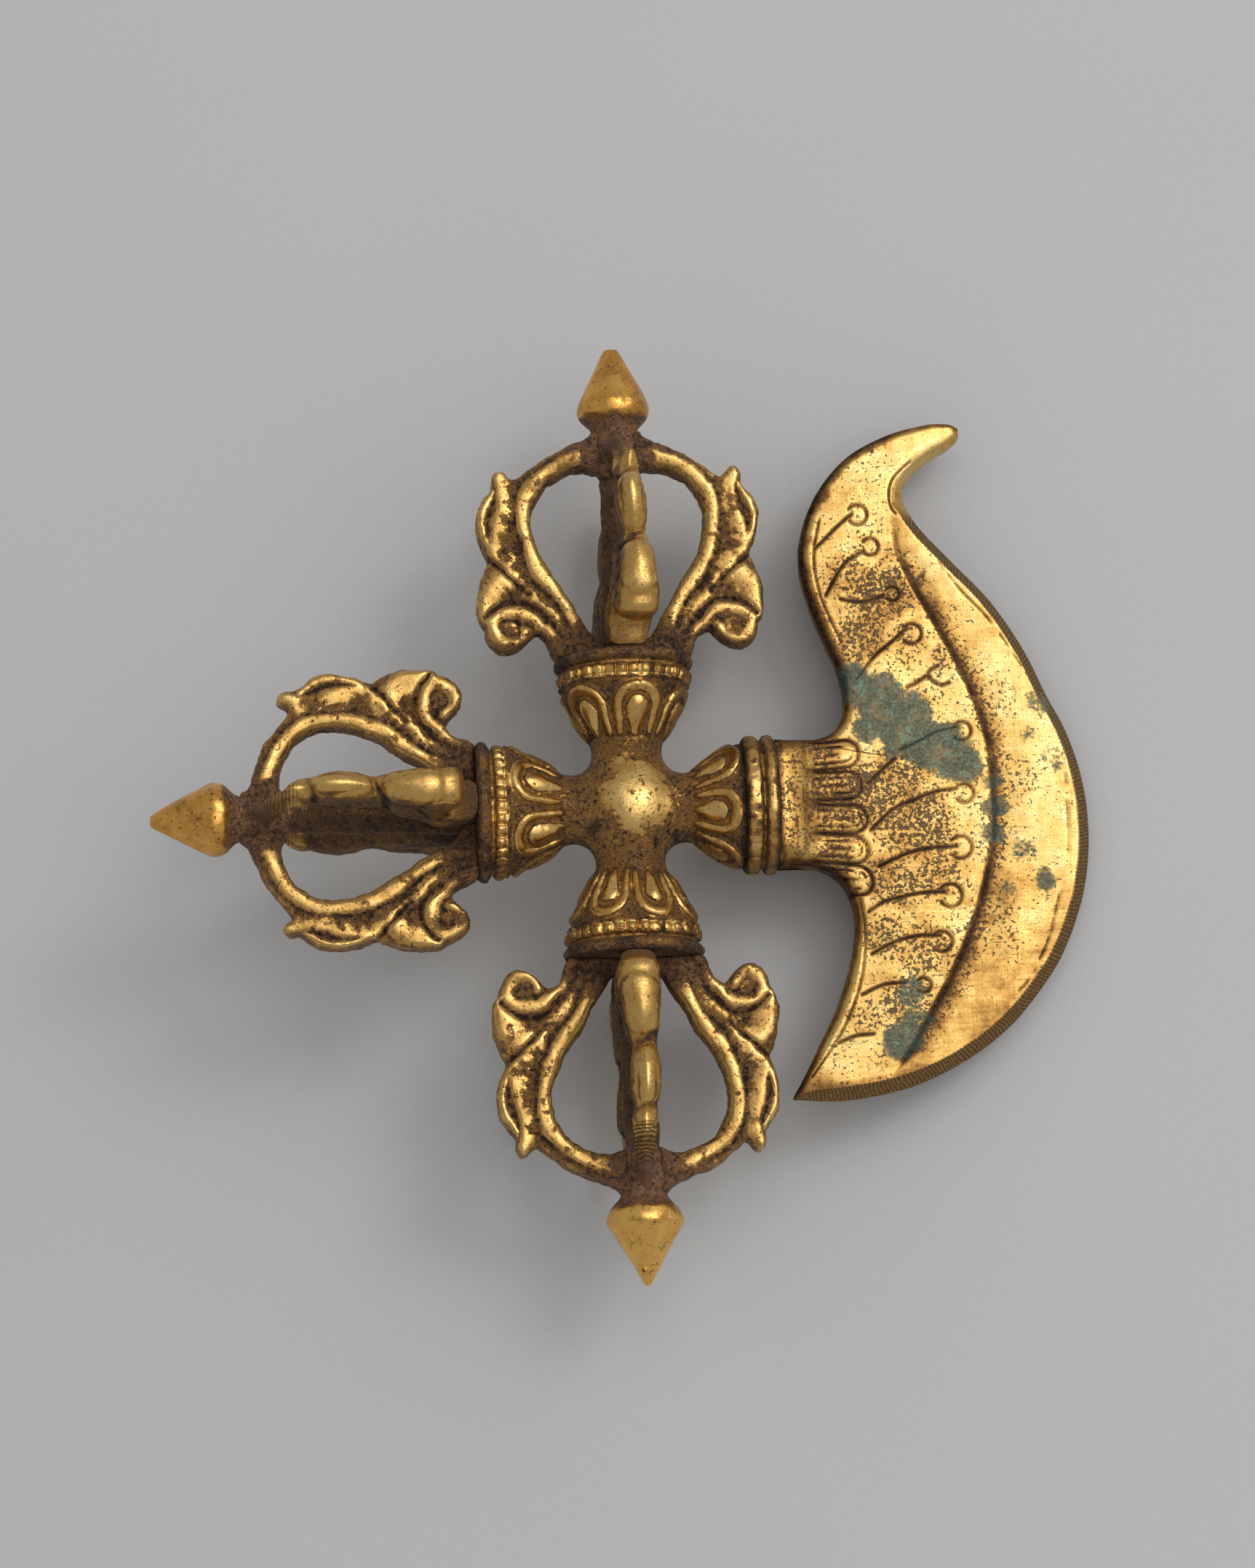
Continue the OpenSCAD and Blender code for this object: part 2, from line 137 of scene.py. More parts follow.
def curve(points, steps):
    """Catmull-Rom curve through its points."""
    p = np.asarray(points, float)
    q = np.vstack([p[:1], p, p[-1:]])
    t = (np.arange(steps) / steps)[:, None]
    out = [(2 * b + (c - a) * t + (2 * a - 5 * b + 4 * c - d) * t * t + (3 * b - a - 3 * c + d) * t ** 3) / 2
           for a, b, c, d in zip(q[:-3], q[1:-2], q[2:-1], q[3:])]
    return np.vstack(out + [p[-1:]])


def near(x, y, line):
    """Distance from every point to a polyline, the share along it, and which side the point lies on."""
    best, share, side = np.full(x.shape, 1e9), np.zeros(x.shape), np.zeros(x.shape)
    ends = np.asarray(line, float)[:, :2]
    count = len(ends) - 1
    for i, (a, b) in enumerate(zip(ends[:-1], ends[1:])):
        d = b - a
        t = np.clip(((x - a[0]) * d[0] + (y - a[1]) * d[1]) / max(d @ d, 1e-9), 0, 1)
        gap = (x - a[0] - t * d[0]) ** 2 + (y - a[1] - t * d[1]) ** 2
        closer = gap < best
        best = np.where(closer, gap, best)
        share = np.where(closer, (i + t) / count, share)
        side = np.where(closer, d[0] * (y - a[1]) - d[1] * (x - a[0]), side)
    return np.sqrt(best), share, np.sign(side)


def outline(x, y, ring):
    """Signed distance to a closed outline, negative inside."""
    loop = np.vstack([ring, ring[:1]])
    d = near(x, y, loop)[0]
    inside = np.zeros(x.shape, bool)
    for a, b in zip(loop[:-1], loop[1:]):
        if a[1] != b[1]:
            inside ^= ((a[1] > y) != (b[1] > y)) & (x < (b[0] - a[0]) * (y - a[1]) / (b[1] - a[1]) + a[0])
    return np.where(inside, -d, d)


# The corners of a cell of a grid, and the pairs of them that its edges join
CORNERS = np.array([[k & 1, k >> 1 & 1, k >> 2] for k in range(8)])
EDGES = [(a, b) for a in range(8) for b in range(a + 1, 8) if abs(CORNERS[a] - CORNERS[b]).sum() == 1]
TABLE = np.random.default_rng(7).random(4096)


def noise(p, size, seed=0):
    """Smooth value noise from -1 to 1 with lumps of the given size, at points in millimetres."""
    q = p / size + 50.0 + 17.3 * seed
    cell = np.floor(q).astype(int)
    f = q - cell
    f = f * f * (3 - 2 * f)
    total = np.zeros(len(p))
    for corner in CORNERS:
        x, y, z = (cell + corner).T
        index = (x * 73 + y * 179 + z * 283 + (x * y + z * 31) % 97 + seed * 101) % len(TABLE)
        total += TABLE[index] * np.prod(np.where(corner, f, 1 - f), 1)
    return total * 2 - 1


# Meshes
def surface(field, low, step):
    """Vertices and quads of the zero surface of a grid of values, negative inside."""
    inside = field < 0
    nx, ny, nz = (n - 1 for n in field.shape)
    count = sum(inside[a:a + nx, b:b + ny, c:c + nz].astype(np.int8) for a, b, c in CORNERS)
    cells = np.argwhere((count > 0) & (count < 8))
    number = np.full(count.shape, -1)
    number[tuple(cells.T)] = np.arange(len(cells))
    value = [field[tuple((cells + c).T)] for c in CORNERS]
    total, hits = np.zeros((len(cells), 3)), np.zeros(len(cells))
    for a, b in EDGES:
        fa, fb = value[a], value[b]
        cross = (fa < 0) != (fb < 0)
        t = np.where(cross, fa / np.where(fa == fb, 1, fa - fb), 0)
        total += np.where(cross[:, None], CORNERS[a] + (CORNERS[b] - CORNERS[a]) * t[:, None], 0)
        hits += cross
    quads = []
    for axis in range(3):
        order = (axis, (axis + 1) % 3, (axis + 2) % 3)
        s, m = inside.transpose(order), number.transpose(order)
        i, j, k = np.nonzero(s[:-1, 1:-1, 1:-1] != s[1:, 1:-1, 1:-1])
        j, k = j + 1, k + 1
        ring = np.stack([m[i, j - 1, k - 1], m[i, j, k - 1], m[i, j, k], m[i, j - 1, k]], 1)
        flip = ~s[i, j, k]
        ring[flip] = ring[flip][:, ::-1]
        quads.append(ring)
    return np.asarray(low) + step * (cells + total / hits[:, None]), np.vstack(quads)


def loft(rings):
    """Vertices and quads of a closed skin over rings of points, with both ends drawn to their middle."""
    n, m = rings.shape[:2]
    j = np.arange(m)
    k = (j + 1) % m
    i = np.arange(n - 1)[:, None] * m
    last = (n - 1) * m

    def cap(a, b, middle):
        return np.stack([a, b, np.full(m, middle), np.full(m, -1)], 1)

    quads = np.stack([i + j, i + k, i + m + k, i + m + j], 2).reshape(-1, 4)
    points = np.vstack([rings.reshape(-1, 3), rings[0].mean(0)[None], rings[-1].mean(0)[None]])
    return points, np.vstack([quads, cap(k, j, n * m), cap(last + j, last + k, n * m + 1)])


class Skin:
    """A mesh in millimetres in its own local frame, with the masks that its material reads."""

    def __init__(self, points, quads):
        self.p, self.q = points, quads
        full = np.where(quads < 0, quads[:, :1], quads).astype(np.int64)
        pairs = np.vstack([full[:, [k, (k + 1) % 4]] for k in range(4)])
        pairs = np.vstack([pairs, pairs[:, ::-1]])[np.tile(pairs[:, 0] != pairs[:, 1], 2)]
        both = np.unique(pairs[:, 0] * len(points) + pairs[:, 1])
        self.i, self.j = both // len(points), both % len(points)
        self.degree = np.maximum(np.bincount(self.i, minlength=len(points)), 1)
        self.mask = {}

    def around(self, value):
        """Mean of the neighbours' values."""
        if value.ndim == 1:
            return np.bincount(self.i, weights=value[self.j], minlength=len(self.p)) / self.degree
        return np.stack([self.around(column) for column in value.T], 1)

    def relax(self, times):
        for _ in range(times):
            self.p = self.p + 0.5 * (self.around(self.p) - self.p)
        return self

    def normals(self):
        a, b, c, d = (self.p[np.where(k < 0, self.q[:, 0], k)] for k in self.q.T)
        n = np.cross(c - a, d - b)
        total = np.zeros_like(self.p)
        for at in self.q.T:
            use = at >= 0
            for axis in range(3):
                total[:, axis] += np.bincount(at[use], weights=n[use, axis], minlength=len(self.p))
        return total / np.maximum(np.linalg.norm(total, axis=1), 1e-12)[:, None]

    def push(self, amount):
        """Moves each vertex out along its normal."""
        self.p = self.p + self.normals() * np.asarray(amount)[:, None]

    def relief(self, rounds):
        """How far each vertex stands proud of the surface once that is smoothed, in millimetres."""
        n, flat = self.normals(), self.p
        for _ in range(rounds):
            flat = flat + 0.6 * (self.around(flat) - flat)
        return np.einsum("ij,ij->i", self.p - flat, n)


def build(replaced, skin, points, slot):
    """Makes the piece that stands for a CAD node, its vertices at these points of the upright frame."""
    mesh = bpy.data.meshes.new(f"{replaced}_cast")
    mesh.from_pydata(place(points).tolist(), [], [f if f[3] >= 0 else f[:3] for f in skin.q.tolist()])
    mesh.validate()
    for key, value in skin.mask.items():
        mesh.attributes.new(key, "FLOAT", "POINT").data.foreach_set("value", np.asarray(value, np.float32))
    mesh.shade_smooth()
    mesh.materials.append(LOOKS[slot])
    piece = bpy.data.objects.new(f"{replaced}_cast", mesh)
    bpy.context.scene.collection.objects.link(piece)
    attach(piece, "root")
    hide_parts(replaced)


# Materials
class Nodes:
    """A material's node tree, with short names for what the materials use."""

    def __init__(self, name):
        self.material = bpy.data.materials.new(name)
        self.material.use_nodes = True
        self.tree = self.material.node_tree
        self.place = self.node("TexCoord", {}).outputs["Object"]

    def feed(self, socket, value):
        if isinstance(value, bpy.types.NodeSocket):
            self.tree.links.new(value, socket)
        else:
            socket.default_value = value

    def node(self, kind, inputs, **settings):
        """A new node with these settings, its inputs set to numbers or linked."""
        n = self.tree.nodes.new("ShaderNode" + kind)
        for key, value in settings.items():
            setattr(n, key, value)
        for key, value in inputs.items():
            self.feed(n.inputs[key], value)
        return n

    def math(self, kind, *values, clamp=False):
        return self.node("Math", dict(enumerate(values)), operation=kind, use_clamp=clamp).outputs[0]

    def times(self, a, b, clamp=False):
        return self.math("MULTIPLY", a, b, clamp=clamp)

    def add(self, *terms):
        total = terms[0]
        for term in terms[1:]:
            total = self.math("ADD", total, term)
        return total

    def scaled(self, a, k, offset=0.0):
        return self.math("MULTIPLY_ADD", a, k, offset)

    def swing(self, a, k):
        """A noise from 0 to 1, brought to k from low to high with its middle at 0."""
        return self.scaled(a, k, -k / 2)

    def less(self, a, k):
        """1, less k of the value."""
        return self.scaled(a, -k, 1.0)

    def wave(self, along, pitch):
        return self.math("SINE", self.scaled(along, 2 * math.pi / pitch))

    def attribute(self, name):
        return self.node("Attribute", {}, attribute_name=name).outputs["Fac"]

    def noise(self, size, detail=2.0, roughness=0.5, stretch=None):
        """Noise with lumps of size millimetres; stretch is the scale and turn that lengthen them."""
        place = self.place
        if stretch:
            scale, turn = stretch
            place = self.node("Mapping", {"Vector": place, "Scale": scale, "Rotation": turn}).outputs[0]
        inputs = {"Vector": place, "Scale": 1000 / size, "Detail": detail, "Roughness": roughness}
        return self.scaled(self.node("TexNoise", inputs).outputs["Fac"], 2.2, -0.6)

    def steps(self, value, low, high, a=0.0, b=1.0):
        """Smooth step from a to b while the value goes from low to high."""
        ends = {"Value": value, "From Min": low, "From Max": high, "To Min": a, "To Max": b}
        return self.node("MapRange", ends, interpolation_type="SMOOTHSTEP").outputs["Result"]

    def ramp(self, value, stops):
        """Colours by stops: rows of a place and its red, green and blue, or a place and its grey."""
        n = self.node("ValToRGB", {"Fac": value})
        e = n.color_ramp.elements
        while len(e) < len(stops):
            e.new(0.5)
        for element, (at, *colour) in zip(e, stops):
            element.position = at
            element.color = (*colour * (3 // len(colour)), 1)
        return n.outputs["Color"]

    def mix(self, factor, a, b):
        a, b = ((*v, 1) if isinstance(v, tuple) else v for v in (a, b))
        return self.node("Mix", {"Factor": factor, 6: a, 7: b}, data_type="RGBA").outputs[2]

    def bump(self, height, strength, distance):
        inputs = {"Height": height, "Strength": strength, "Distance": distance / 1000}
        return self.node("Bump", inputs).outputs[0]

    def finish(self, colour, roughness, normal, metal):
        shader = self.tree.nodes["Principled BSDF"]
        keys = ("Base Color", "Roughness", "Metallic", "Normal")
        for key, value in zip(keys, (colour, roughness, metal, normal)):
            self.feed(shader.inputs[key], value)
        return self.material


# Colours by how far the dark skin of the casting is worn off
GOLD_RAMP = [(0.0, 0.024, 0.013, 0.008), (0.26, 0.118, 0.057, 0.023), (0.42, 0.3, 0.155, 0.052),
             (0.58, 0.46, 0.247, 0.076), (0.78, 0.66, 0.39, 0.118), (1.0, 0.81, 0.55, 0.2)]
TIP_RAMP = GOLD_RAMP[:3] + [(0.58, 0.49, 0.235, 0.056), (0.78, 0.78, 0.395, 0.088), (1.0, 0.93, 0.55, 0.15)]
RECESS_RAMP = [(0.0, 0.024, 0.014, 0.008), (0.35, 0.105, 0.056, 0.028),
               (0.7, 0.27, 0.15, 0.065), (1.0, 0.42, 0.27, 0.11)]
SATIN_RAMP = [(0.0, 0.028, 0.017, 0.011), (0.25, 0.11, 0.056, 0.024), (0.42, 0.24, 0.13, 0.047),
              (0.6, 0.42, 0.228, 0.068), (0.8, 0.62, 0.37, 0.108), (1.0, 0.76, 0.495, 0.165)]
BLADE_RAMP = [(0.0, 0.04, 0.022, 0.012), (0.25, 0.12, 0.06, 0.024), (0.45, 0.28, 0.14, 0.042),
              (0.62, 0.5, 0.27, 0.072), (0.8, 0.66, 0.415, 0.125), (1.0, 0.73, 0.52, 0.205)]
EDGE_RAMP = [(0.0, 0.08, 0.042, 0.018), (0.5, 0.24, 0.135, 0.05), (1.0, 0.5, 0.32, 0.13)]
CRUST_RAMP = [(0.0, 0.03, 0.032, 0.022), (0.3, 0.075, 0.09, 0.062), (0.6, 0.13, 0.16, 0.11),
              (1.0, 0.26, 0.27, 0.17)]
RED_BROWN, DARK_RUST, PIT = (0.29, 0.14, 0.08), (0.11, 0.054, 0.031), (0.04, 0.023, 0.014)
FILE_PITCH, GRIND_PITCH = 0.5, 0.55


def brazed(n, patch):
    return n.times(n.attribute("red"), n.steps(patch, 0.3, 0.6, 0.5, 1.0), clamp=True)


def bare_metal(n, worn, red):
    return n.times(n.steps(worn, 0.26, 0.56, 0.35, 1.0), n.less(red, 0.5))


def cast_brass(name, ramp=GOLD_RAMP, grain=1.0, shine=0.2):
    """Rough dark casting skin, rubbed gold on its heights and red-brown where it was brazed."""
    n = Nodes(name)
    patch, fleck, skin = n.noise(3.2, 3), n.noise(0.75, 5, 0.68), n.noise(0.26, 3, 0.65)
    mask = n.attribute("worn")
    rubbed = n.steps(mask, 0.5, 0.78)
    grit = n.times(n.add(n.swing(fleck, 0.5), n.swing(skin, 0.4)), n.less(rubbed, 0.62))
    worn = n.add(mask, n.swing(patch, 0.22), grit)
    red = brazed(n, patch)
    colour = n.mix(red, n.ramp(worn, ramp), n.mix(n.steps(fleck, 0.3, 0.62), DARK_RUST, RED_BROWN))
    stain = n.steps(n.noise(1.5, 5, 0.72), 0.6, 0.9)
    colour = n.mix(n.scaled(stain, 0.55), colour, (0.17, 0.085, 0.034))
    # painted highlights: bright grains in the hollows stand for glints; dark pits in the gold
    painted_glint = n.times(n.steps(n.noise(0.34, 3, 0.6), 0.66, 0.92), n.less(rubbed, 1.0))
    colour = n.mix(n.scaled(painted_glint, 0.55), colour, (0.42, 0.26, 0.11))
    pits = n.steps(n.add(n.noise(0.5, 4, 0.65), n.scaled(mask, 0.12)), 0.24, 0.36)
    colour = n.mix(n.scaled(pits, 0.85, 0.15), PIT, colour)
    rough = n.ramp(worn, [(0.0, 0.68), (0.4, 0.46), (0.7, 0.3), (1.0, shine)])
    rough = n.mix(red, rough, (0.55, 0.55, 0.55))
    coarse = n.steps(worn, 0.3, 0.7, grain, 0.04)
    height = n.add(n.times(n.add(skin, fleck), coarse), n.scaled(fleck, 0.05), n.scaled(pits, 0.25))
    return n.finish(colour, rough, n.bump(height, 0.9, 0.3), bare_metal(n, worn, red))


def satin_brass(name):
    """Smooth, worn prongs with shallow scratches, and file marks at their far ends."""
    n = Nodes(name)
    patch, fleck, skin = n.noise(4.5, 4, 0.6), n.noise(0.7, 5, 0.66), n.noise(0.26, 3, 0.65)
    mask = n.attribute("worn")
    rubbed = n.steps(mask, 0.45, 0.75)
    worn = n.add(mask, n.swing(patch, 0.24), n.times(n.swing(fleck, 0.44), n.less(rubbed, 0.6)))
    red = brazed(n, patch)
    colour = n.mix(red, n.ramp(worn, SATIN_RAMP), RED_BROWN)
    pits = n.steps(n.noise(0.6, 4, 0.65), 0.07, 0.22)
    colour = n.mix(n.scaled(pits, 0.7, 0.3), (0.045, 0.026, 0.014), colour)
    line = n.wave(n.add(n.attribute("along"), n.scaled(patch, 0.5)), FILE_PITCH)
    filed = n.times(n.attribute("filed"), n.steps(line, -0.4, 0.6))
    colour = n.mix(n.scaled(filed, 0.85), colour, (0.055, 0.034, 0.016))
    stain = n.steps(n.noise(1.8, 5, 0.72), 0.6, 0.9)
    colour = n.mix(n.scaled(stain, 0.45), colour, (0.2, 0.11, 0.045))
    scratch = n.steps(n.noise(0.5, 4, 0.65, ((1, 4, 1), (0.3, 0.2, 0.6))), 0.74, 0.92)
    colour = n.mix(n.times(scratch, n.scaled(rubbed, 0.55)), colour, (0.09, 0.052, 0.024))
    rough = n.ramp(worn, [(0.0, 0.7), (0.4, 0.45), (1.0, 0.25)])
    height = n.add(n.times(n.add(skin, fleck), n.less(rubbed, 0.95)), n.scaled(fleck, 0.06),
                   n.scaled(pits, 0.2), n.scaled(filed, -0.15), n.scaled(scratch, -0.12))
    return n.finish(colour, rough, n.bump(height, 0.9, 0.26), bare_metal(n, worn, red))


def blade_brass(name):
    """Bright brushed brass with dark pits, a ground edge and patches of verdigris."""
    n = Nodes(name)
    patch, fleck, fine = n.noise(5, 3), n.noise(0.52, 5, 0.66), n.noise(0.3, 2, 0.6)
    long_way = n.noise(1.2, 4, 0.7, ((0.12, 2.6, 1), (0, 0, 0.9)))
    cross_way = n.noise(1.1, 3, 0.7, ((3.6, 0.22, 1), (0, 0, -0.5)))
    brushed = n.add(n.swing(long_way, 0.17), n.swing(cross_way, 0.08))
    mask, filed = n.attribute("worn"), n.attribute("filed")
    blotch = n.swing(n.noise(1.6, 4, 0.6), 0.24)
    worn = n.add(mask, n.swing(patch, 0.34), blotch, n.swing(fleck, 0.14), brushed)
    threshold = n.scaled(n.add(n.attribute("speck"), n.swing(patch, 0.24)), -0.44, 0.93)
    dark = n.steps(n.math("SUBTRACT", fleck, threshold), -0.05, 0.09)
    speck = n.mix(n.steps(fine, 0.55, 0.85), (0.07, 0.034, 0.018), (0.24, 0.13, 0.062))
    colour = n.mix(n.scaled(dark, 0.88), n.ramp(worn, BLADE_RAMP), speck)
    hair = n.steps(n.noise(0.8, 4, 0.7, ((0.09, 4.0, 1), (0, 0, 0.98))), 0.74, 0.92)
    hair = n.times(hair, n.steps(patch, 0.45, 0.75))
    colour = n.mix(n.scaled(hair, 0.45), colour, (0.22, 0.12, 0.05))
    grind = n.wave(n.add(n.attribute("along"), n.scaled(fine, 0.25), n.scaled(patch, 0.8)), GRIND_PITCH)
    edge = n.ramp(n.add(n.scaled(grind, 0.22, 0.42), n.scaled(fleck, 0.28, -0.08)), EDGE_RAMP)
    colour = n.mix(filed, colour, edge)
    crust, glint = n.noise(0.42, 4, 0.7), n.noise(0.33, 3, 0.6)
    green = n.steps(n.add(n.attribute("green"), n.swing(n.noise(3.0, 5, 0.7), 0.42), n.swing(fleck, 0.46),
                          n.swing(long_way, 0.16)), 0.36, 0.66)
    # old brass shows through, and brighter grains lie on the crust
    bare = n.steps(n.add(n.noise(2.6, 5, 0.7), n.scaled(glint, 0.35, -0.17)), 0.46, 0.8)
    verdigris = n.mix(bare, n.ramp(crust, CRUST_RAMP), (0.3, 0.215, 0.105))
    verdigris = n.mix(n.steps(n.times(n.noise(1.3, 2), glint), 0.4, 0.52), verdigris, (0.11, 0.36, 0.27))
    verdigris = n.mix(n.steps(mask, 0.35, 0.7, 0.75, 0.0), verdigris, (0.03, 0.05, 0.038))
    colour = n.mix(n.scaled(green, 0.93), colour, verdigris)
    rough = n.add(n.ramp(worn, [(0.0, 0.7), (0.5, 0.42), (1.0, 0.27)]), n.scaled(dark, 0.25),
                  n.scaled(filed, 0.12), n.scaled(green, 0.3))
    height = n.add(n.scaled(dark, -0.6), n.scaled(hair, -0.4), n.scaled(fine, 0.12), n.scaled(brushed, 0.9),
                   n.times(filed, n.scaled(grind, 0.5)), n.times(green, crust))
    return n.finish(colour, rough, n.bump(height, 0.6, 0.13), n.times(n.less(green, 0.85), n.less(dark, 0.6)))


# The looks by the record's material slots
LOOKS = {"cast_brass": cast_brass("cast_brass_look"),
         "tip_brass": cast_brass("tip_brass_look", TIP_RAMP, grain=0.6, shine=0.24),
         "recess_brass": cast_brass("recess_brass_look", RECESS_RAMP, grain=1.3, shine=0.4),
         "applied_brass": satin_brass("applied_brass_look"),
         "blade_brass": blade_brass("blade_brass_look")}

# Prongs
# Outlines and crest lines, along the arm and out from its axis
OUTER = [
    (20.9, 9.2), (22.3, 9.9), (23.8, 10.4), (24.8, 11.3), (24.9, 12.2), (24.2, 13.2), (23.1, 14.4),
    (22.5, 15.7), (22.6, 17.0), (23.4, 18.2), (24.6, 18.9), (25.8, 19.2), (26.6, 19.8), (28.0, 20.2),
    (29.5, 20.2), (31.2, 20.0), (33.0, 19.5), (34.6, 18.8), (35.4, 18.5), (36.5, 18.8), (38.0, 19.4),
    (40.0, 19.8), (41.8, 19.8), (43.4, 19.2), (44.6, 18.2), (45.6, 17.5), (46.8, 17.5), (47.8, 17.1),
    (48.1, 16.4), (47.7, 15.7), (47.0, 15.1), (46.7, 14.4), (47.4, 13.4), (48.6, 11.8), (50.0, 9.9),
    (51.0, 7.8), (51.7, 6.0), (52.2, 4.7), (52.8, 3.8), (53.5, 3.2), (53.5, 2.2)]
INNER = [
    (47.4, 2.2), (47.8, 3.3), (48.1, 4.7), (47.9, 6.6), (47.0, 8.6), (45.4, 10.4), (43.4, 11.6),
    (41.0, 12.1), (38.6, 11.9), (36.2, 11.1), (34.0, 9.9), (32.0, 8.6), (30.0, 7.4), (28.0, 6.3),
    (26.0, 5.4), (24.0, 4.8), (22.5, 4.5), (20.9, 4.4)]
WEB = [(26.6, 5.5), (25.2, 4.7), (24.0, 3.7), (23.0, 2.6), (22.2, 1.9), (20.9, 1.7)]
BOW_RIB = [
    (21.0, 6.0), (24.0, 6.5), (26.2, 7.1), (28.1, 7.8), (29.8, 8.8), (31.1, 9.8), (32.3, 10.8),
    (33.7, 11.8), (35.7, 12.7), (37.8, 13.2), (39.5, 13.5), (41.0, 13.6), (42.5, 13.6), (44.2, 13.2),
    (45.8, 12.2), (47.0, 11.0), (48.2, 9.4), (49.3, 7.4), (50.2, 5.2), (50.6, 3.0)]
STEM_RIB = [
    (21.4, 7.2), (23.4, 7.6), (24.9, 8.2), (26.2, 8.9), (27.5, 9.7), (28.8, 10.9), (29.9, 12.2),
    (31.2, 13.3), (32.6, 14.1)]
LEAF_RIB = [
    (37.1, 17.8), (38.3, 17.5), (39.8, 17.2), (41.1, 16.8), (42.5, 16.3), (43.8, 16.2), (45.4, 16.3),
    (47.0, 16.8)]
LEAF_FOLD = [(32.5, 13.9), (33.4, 14.8), (34.1, 15.6), (34.9, 16.5), (35.4, 17.4), (36.2, 18.2)]
UPPER_LOBE = [
    (36.8, 17.8), (37.2, 18.4), (38.4, 18.9), (39.9, 19.2), (41.1, 19.2), (42.4, 18.8), (43.7, 18.1),
    (45.0, 17.3)]
LOWER_LOBE = [(26.8, 19.0), (28.0, 19.1), (29.6, 18.8), (31.2, 18.2), (32.6, 17.1), (33.1, 15.8)]
SCROLL = [
    (21.2, 8.4), (22.3, 9.0), (23.8, 9.8), (25.4, 10.9), (26.8, 12.0), (27.6, 13.3), (27.8, 15.0),
    (27.6, 16.6), (26.8, 17.7), (25.6, 18.0), (24.4, 17.4), (23.7, 16.3), (23.6, 15.0), (24.2, 14.0),
    (25.0, 13.6)]
LEAF_CREASE = [
    (30.4, 12.7), (31.6, 13.9), (32.6, 15.1), (33.3, 16.0), (34.0, 16.9), (34.9, 17.9), (35.5, 19.2)]
SCROLL_CREASE = [
    (26.4, 10.6), (27.5, 11.4), (28.6, 12.5), (29.3, 13.8), (29.1, 15.8), (28.3, 17.4), (26.9, 18.9)]
# Each ridge's line, its reach to the right and left, its height and how far its ends narrow
RIDGES = [
    (BOW_RIB, 2.6, 0.95, 1.0, 0.0), (STEM_RIB, 1.5, 1.0, 0.85, 0.3), (LEAF_RIB, 3.0, 1.0, 0.95, 0.2),
    (LEAF_FOLD, 2.5, 0.75, 0.85, 0.3), (UPPER_LOBE, 0.85, 1.5, 0.9, 0.2), (LOWER_LOBE, 3.4, 1.9, 1.15, 0.2),
    (SCROLL, 1.5, 1.5, 1.05, 0.2)]
EYE = (25.4, 15.6)
RIDGE_BLEND = 0.16
# Half widths of the smooth prongs along the arm, and the notches between their bulbs: place, depth, width
BULB_AT = [19.6, 22, 23.2, 24.2, 25.5, 27.5, 30, 32.5, 34.3, 35.2, 36.2, 38, 40, 42, 43.3, 44,
           45, 46.2, 47.5, 50, 53.6]
BULB_HALF = [2.9, 2.9, 2.9, 3.1, 3.2, 3.1, 2.75, 2.45, 2.0, 1.75, 1.9, 2.2, 2.25, 2.05, 1.75, 1.65,
             1.85, 1.75, 1.5, 1.5, 1.6]
NOTCHES = [(34.9, 1.1, 0.9), (44.6, 0.6, 0.8), (22.9, 0.6, 0.8)]
# Slanting creases between the bulbs: place, slope, width, depth
CREASES = [(34.9, 0.5, 0.45, 1.0), (43.9, 0.25, 0.4, 0.7), (23.4, 0.0, 0.35, 0.7)]
PRONG_STEP = 0.2
PRONG_LOW, PRONG_HIGH, PRONG_HALF = (19.6, 1.0), (54.0, 22.4), 3.6
# Where the prongs start
PRONG_FOOT = 21.2
# How wide the ornament of each cast prong is, then how filed, how dark at the foot and how bent
# out the smooth prongs of each arm are
SWELL = {("upper", "left"): 0.98, ("upper", "right"): 0.97, ("pommel", "left"): 0.86,
         ("pommel", "right"): 0.99, ("lower", "left"): 0.9, ("lower", "right"): 0.97}
FILE_MARKS = {"upper": 0.3, "pommel": 0.6, "lower": 1.0}
DARK_FOOT = {"upper": 0.1, "pommel": 0.45, "lower": 0.45}
LEAN = {"upper": 1.15, "pommel": 0.65, "lower": 0.55}


def ornament(a, r, uneven):
    """Height of the bow, leaf, lobes and scroll over a prong's side."""
    heights = []
    for points, right, left, h, taper in RIDGES:
        d, share, side = near(a, r, curve(points, 3))
        w = np.where(side > 0, left, right) * (1 - taper * np.abs(2 * share - 1) ** 3) * uneven
        heights.append(dome(d, np.maximum(w, 0.05), h))
    heights.append(0.72 * fall(np.hypot(a - EYE[0], r - EYE[1]), 0.9, 1.9))
    high = heights[0]
    for other in heights[1:]:
        high = soft_max(high, other, RIDGE_BLEND)
    for line, wide in ((LEAF_CREASE, 0.36), (SCROLL_CREASE, 0.42)):
        high = high - 0.75 * peak(near(a, r, curve(line, 3))[0], wide)
    return high


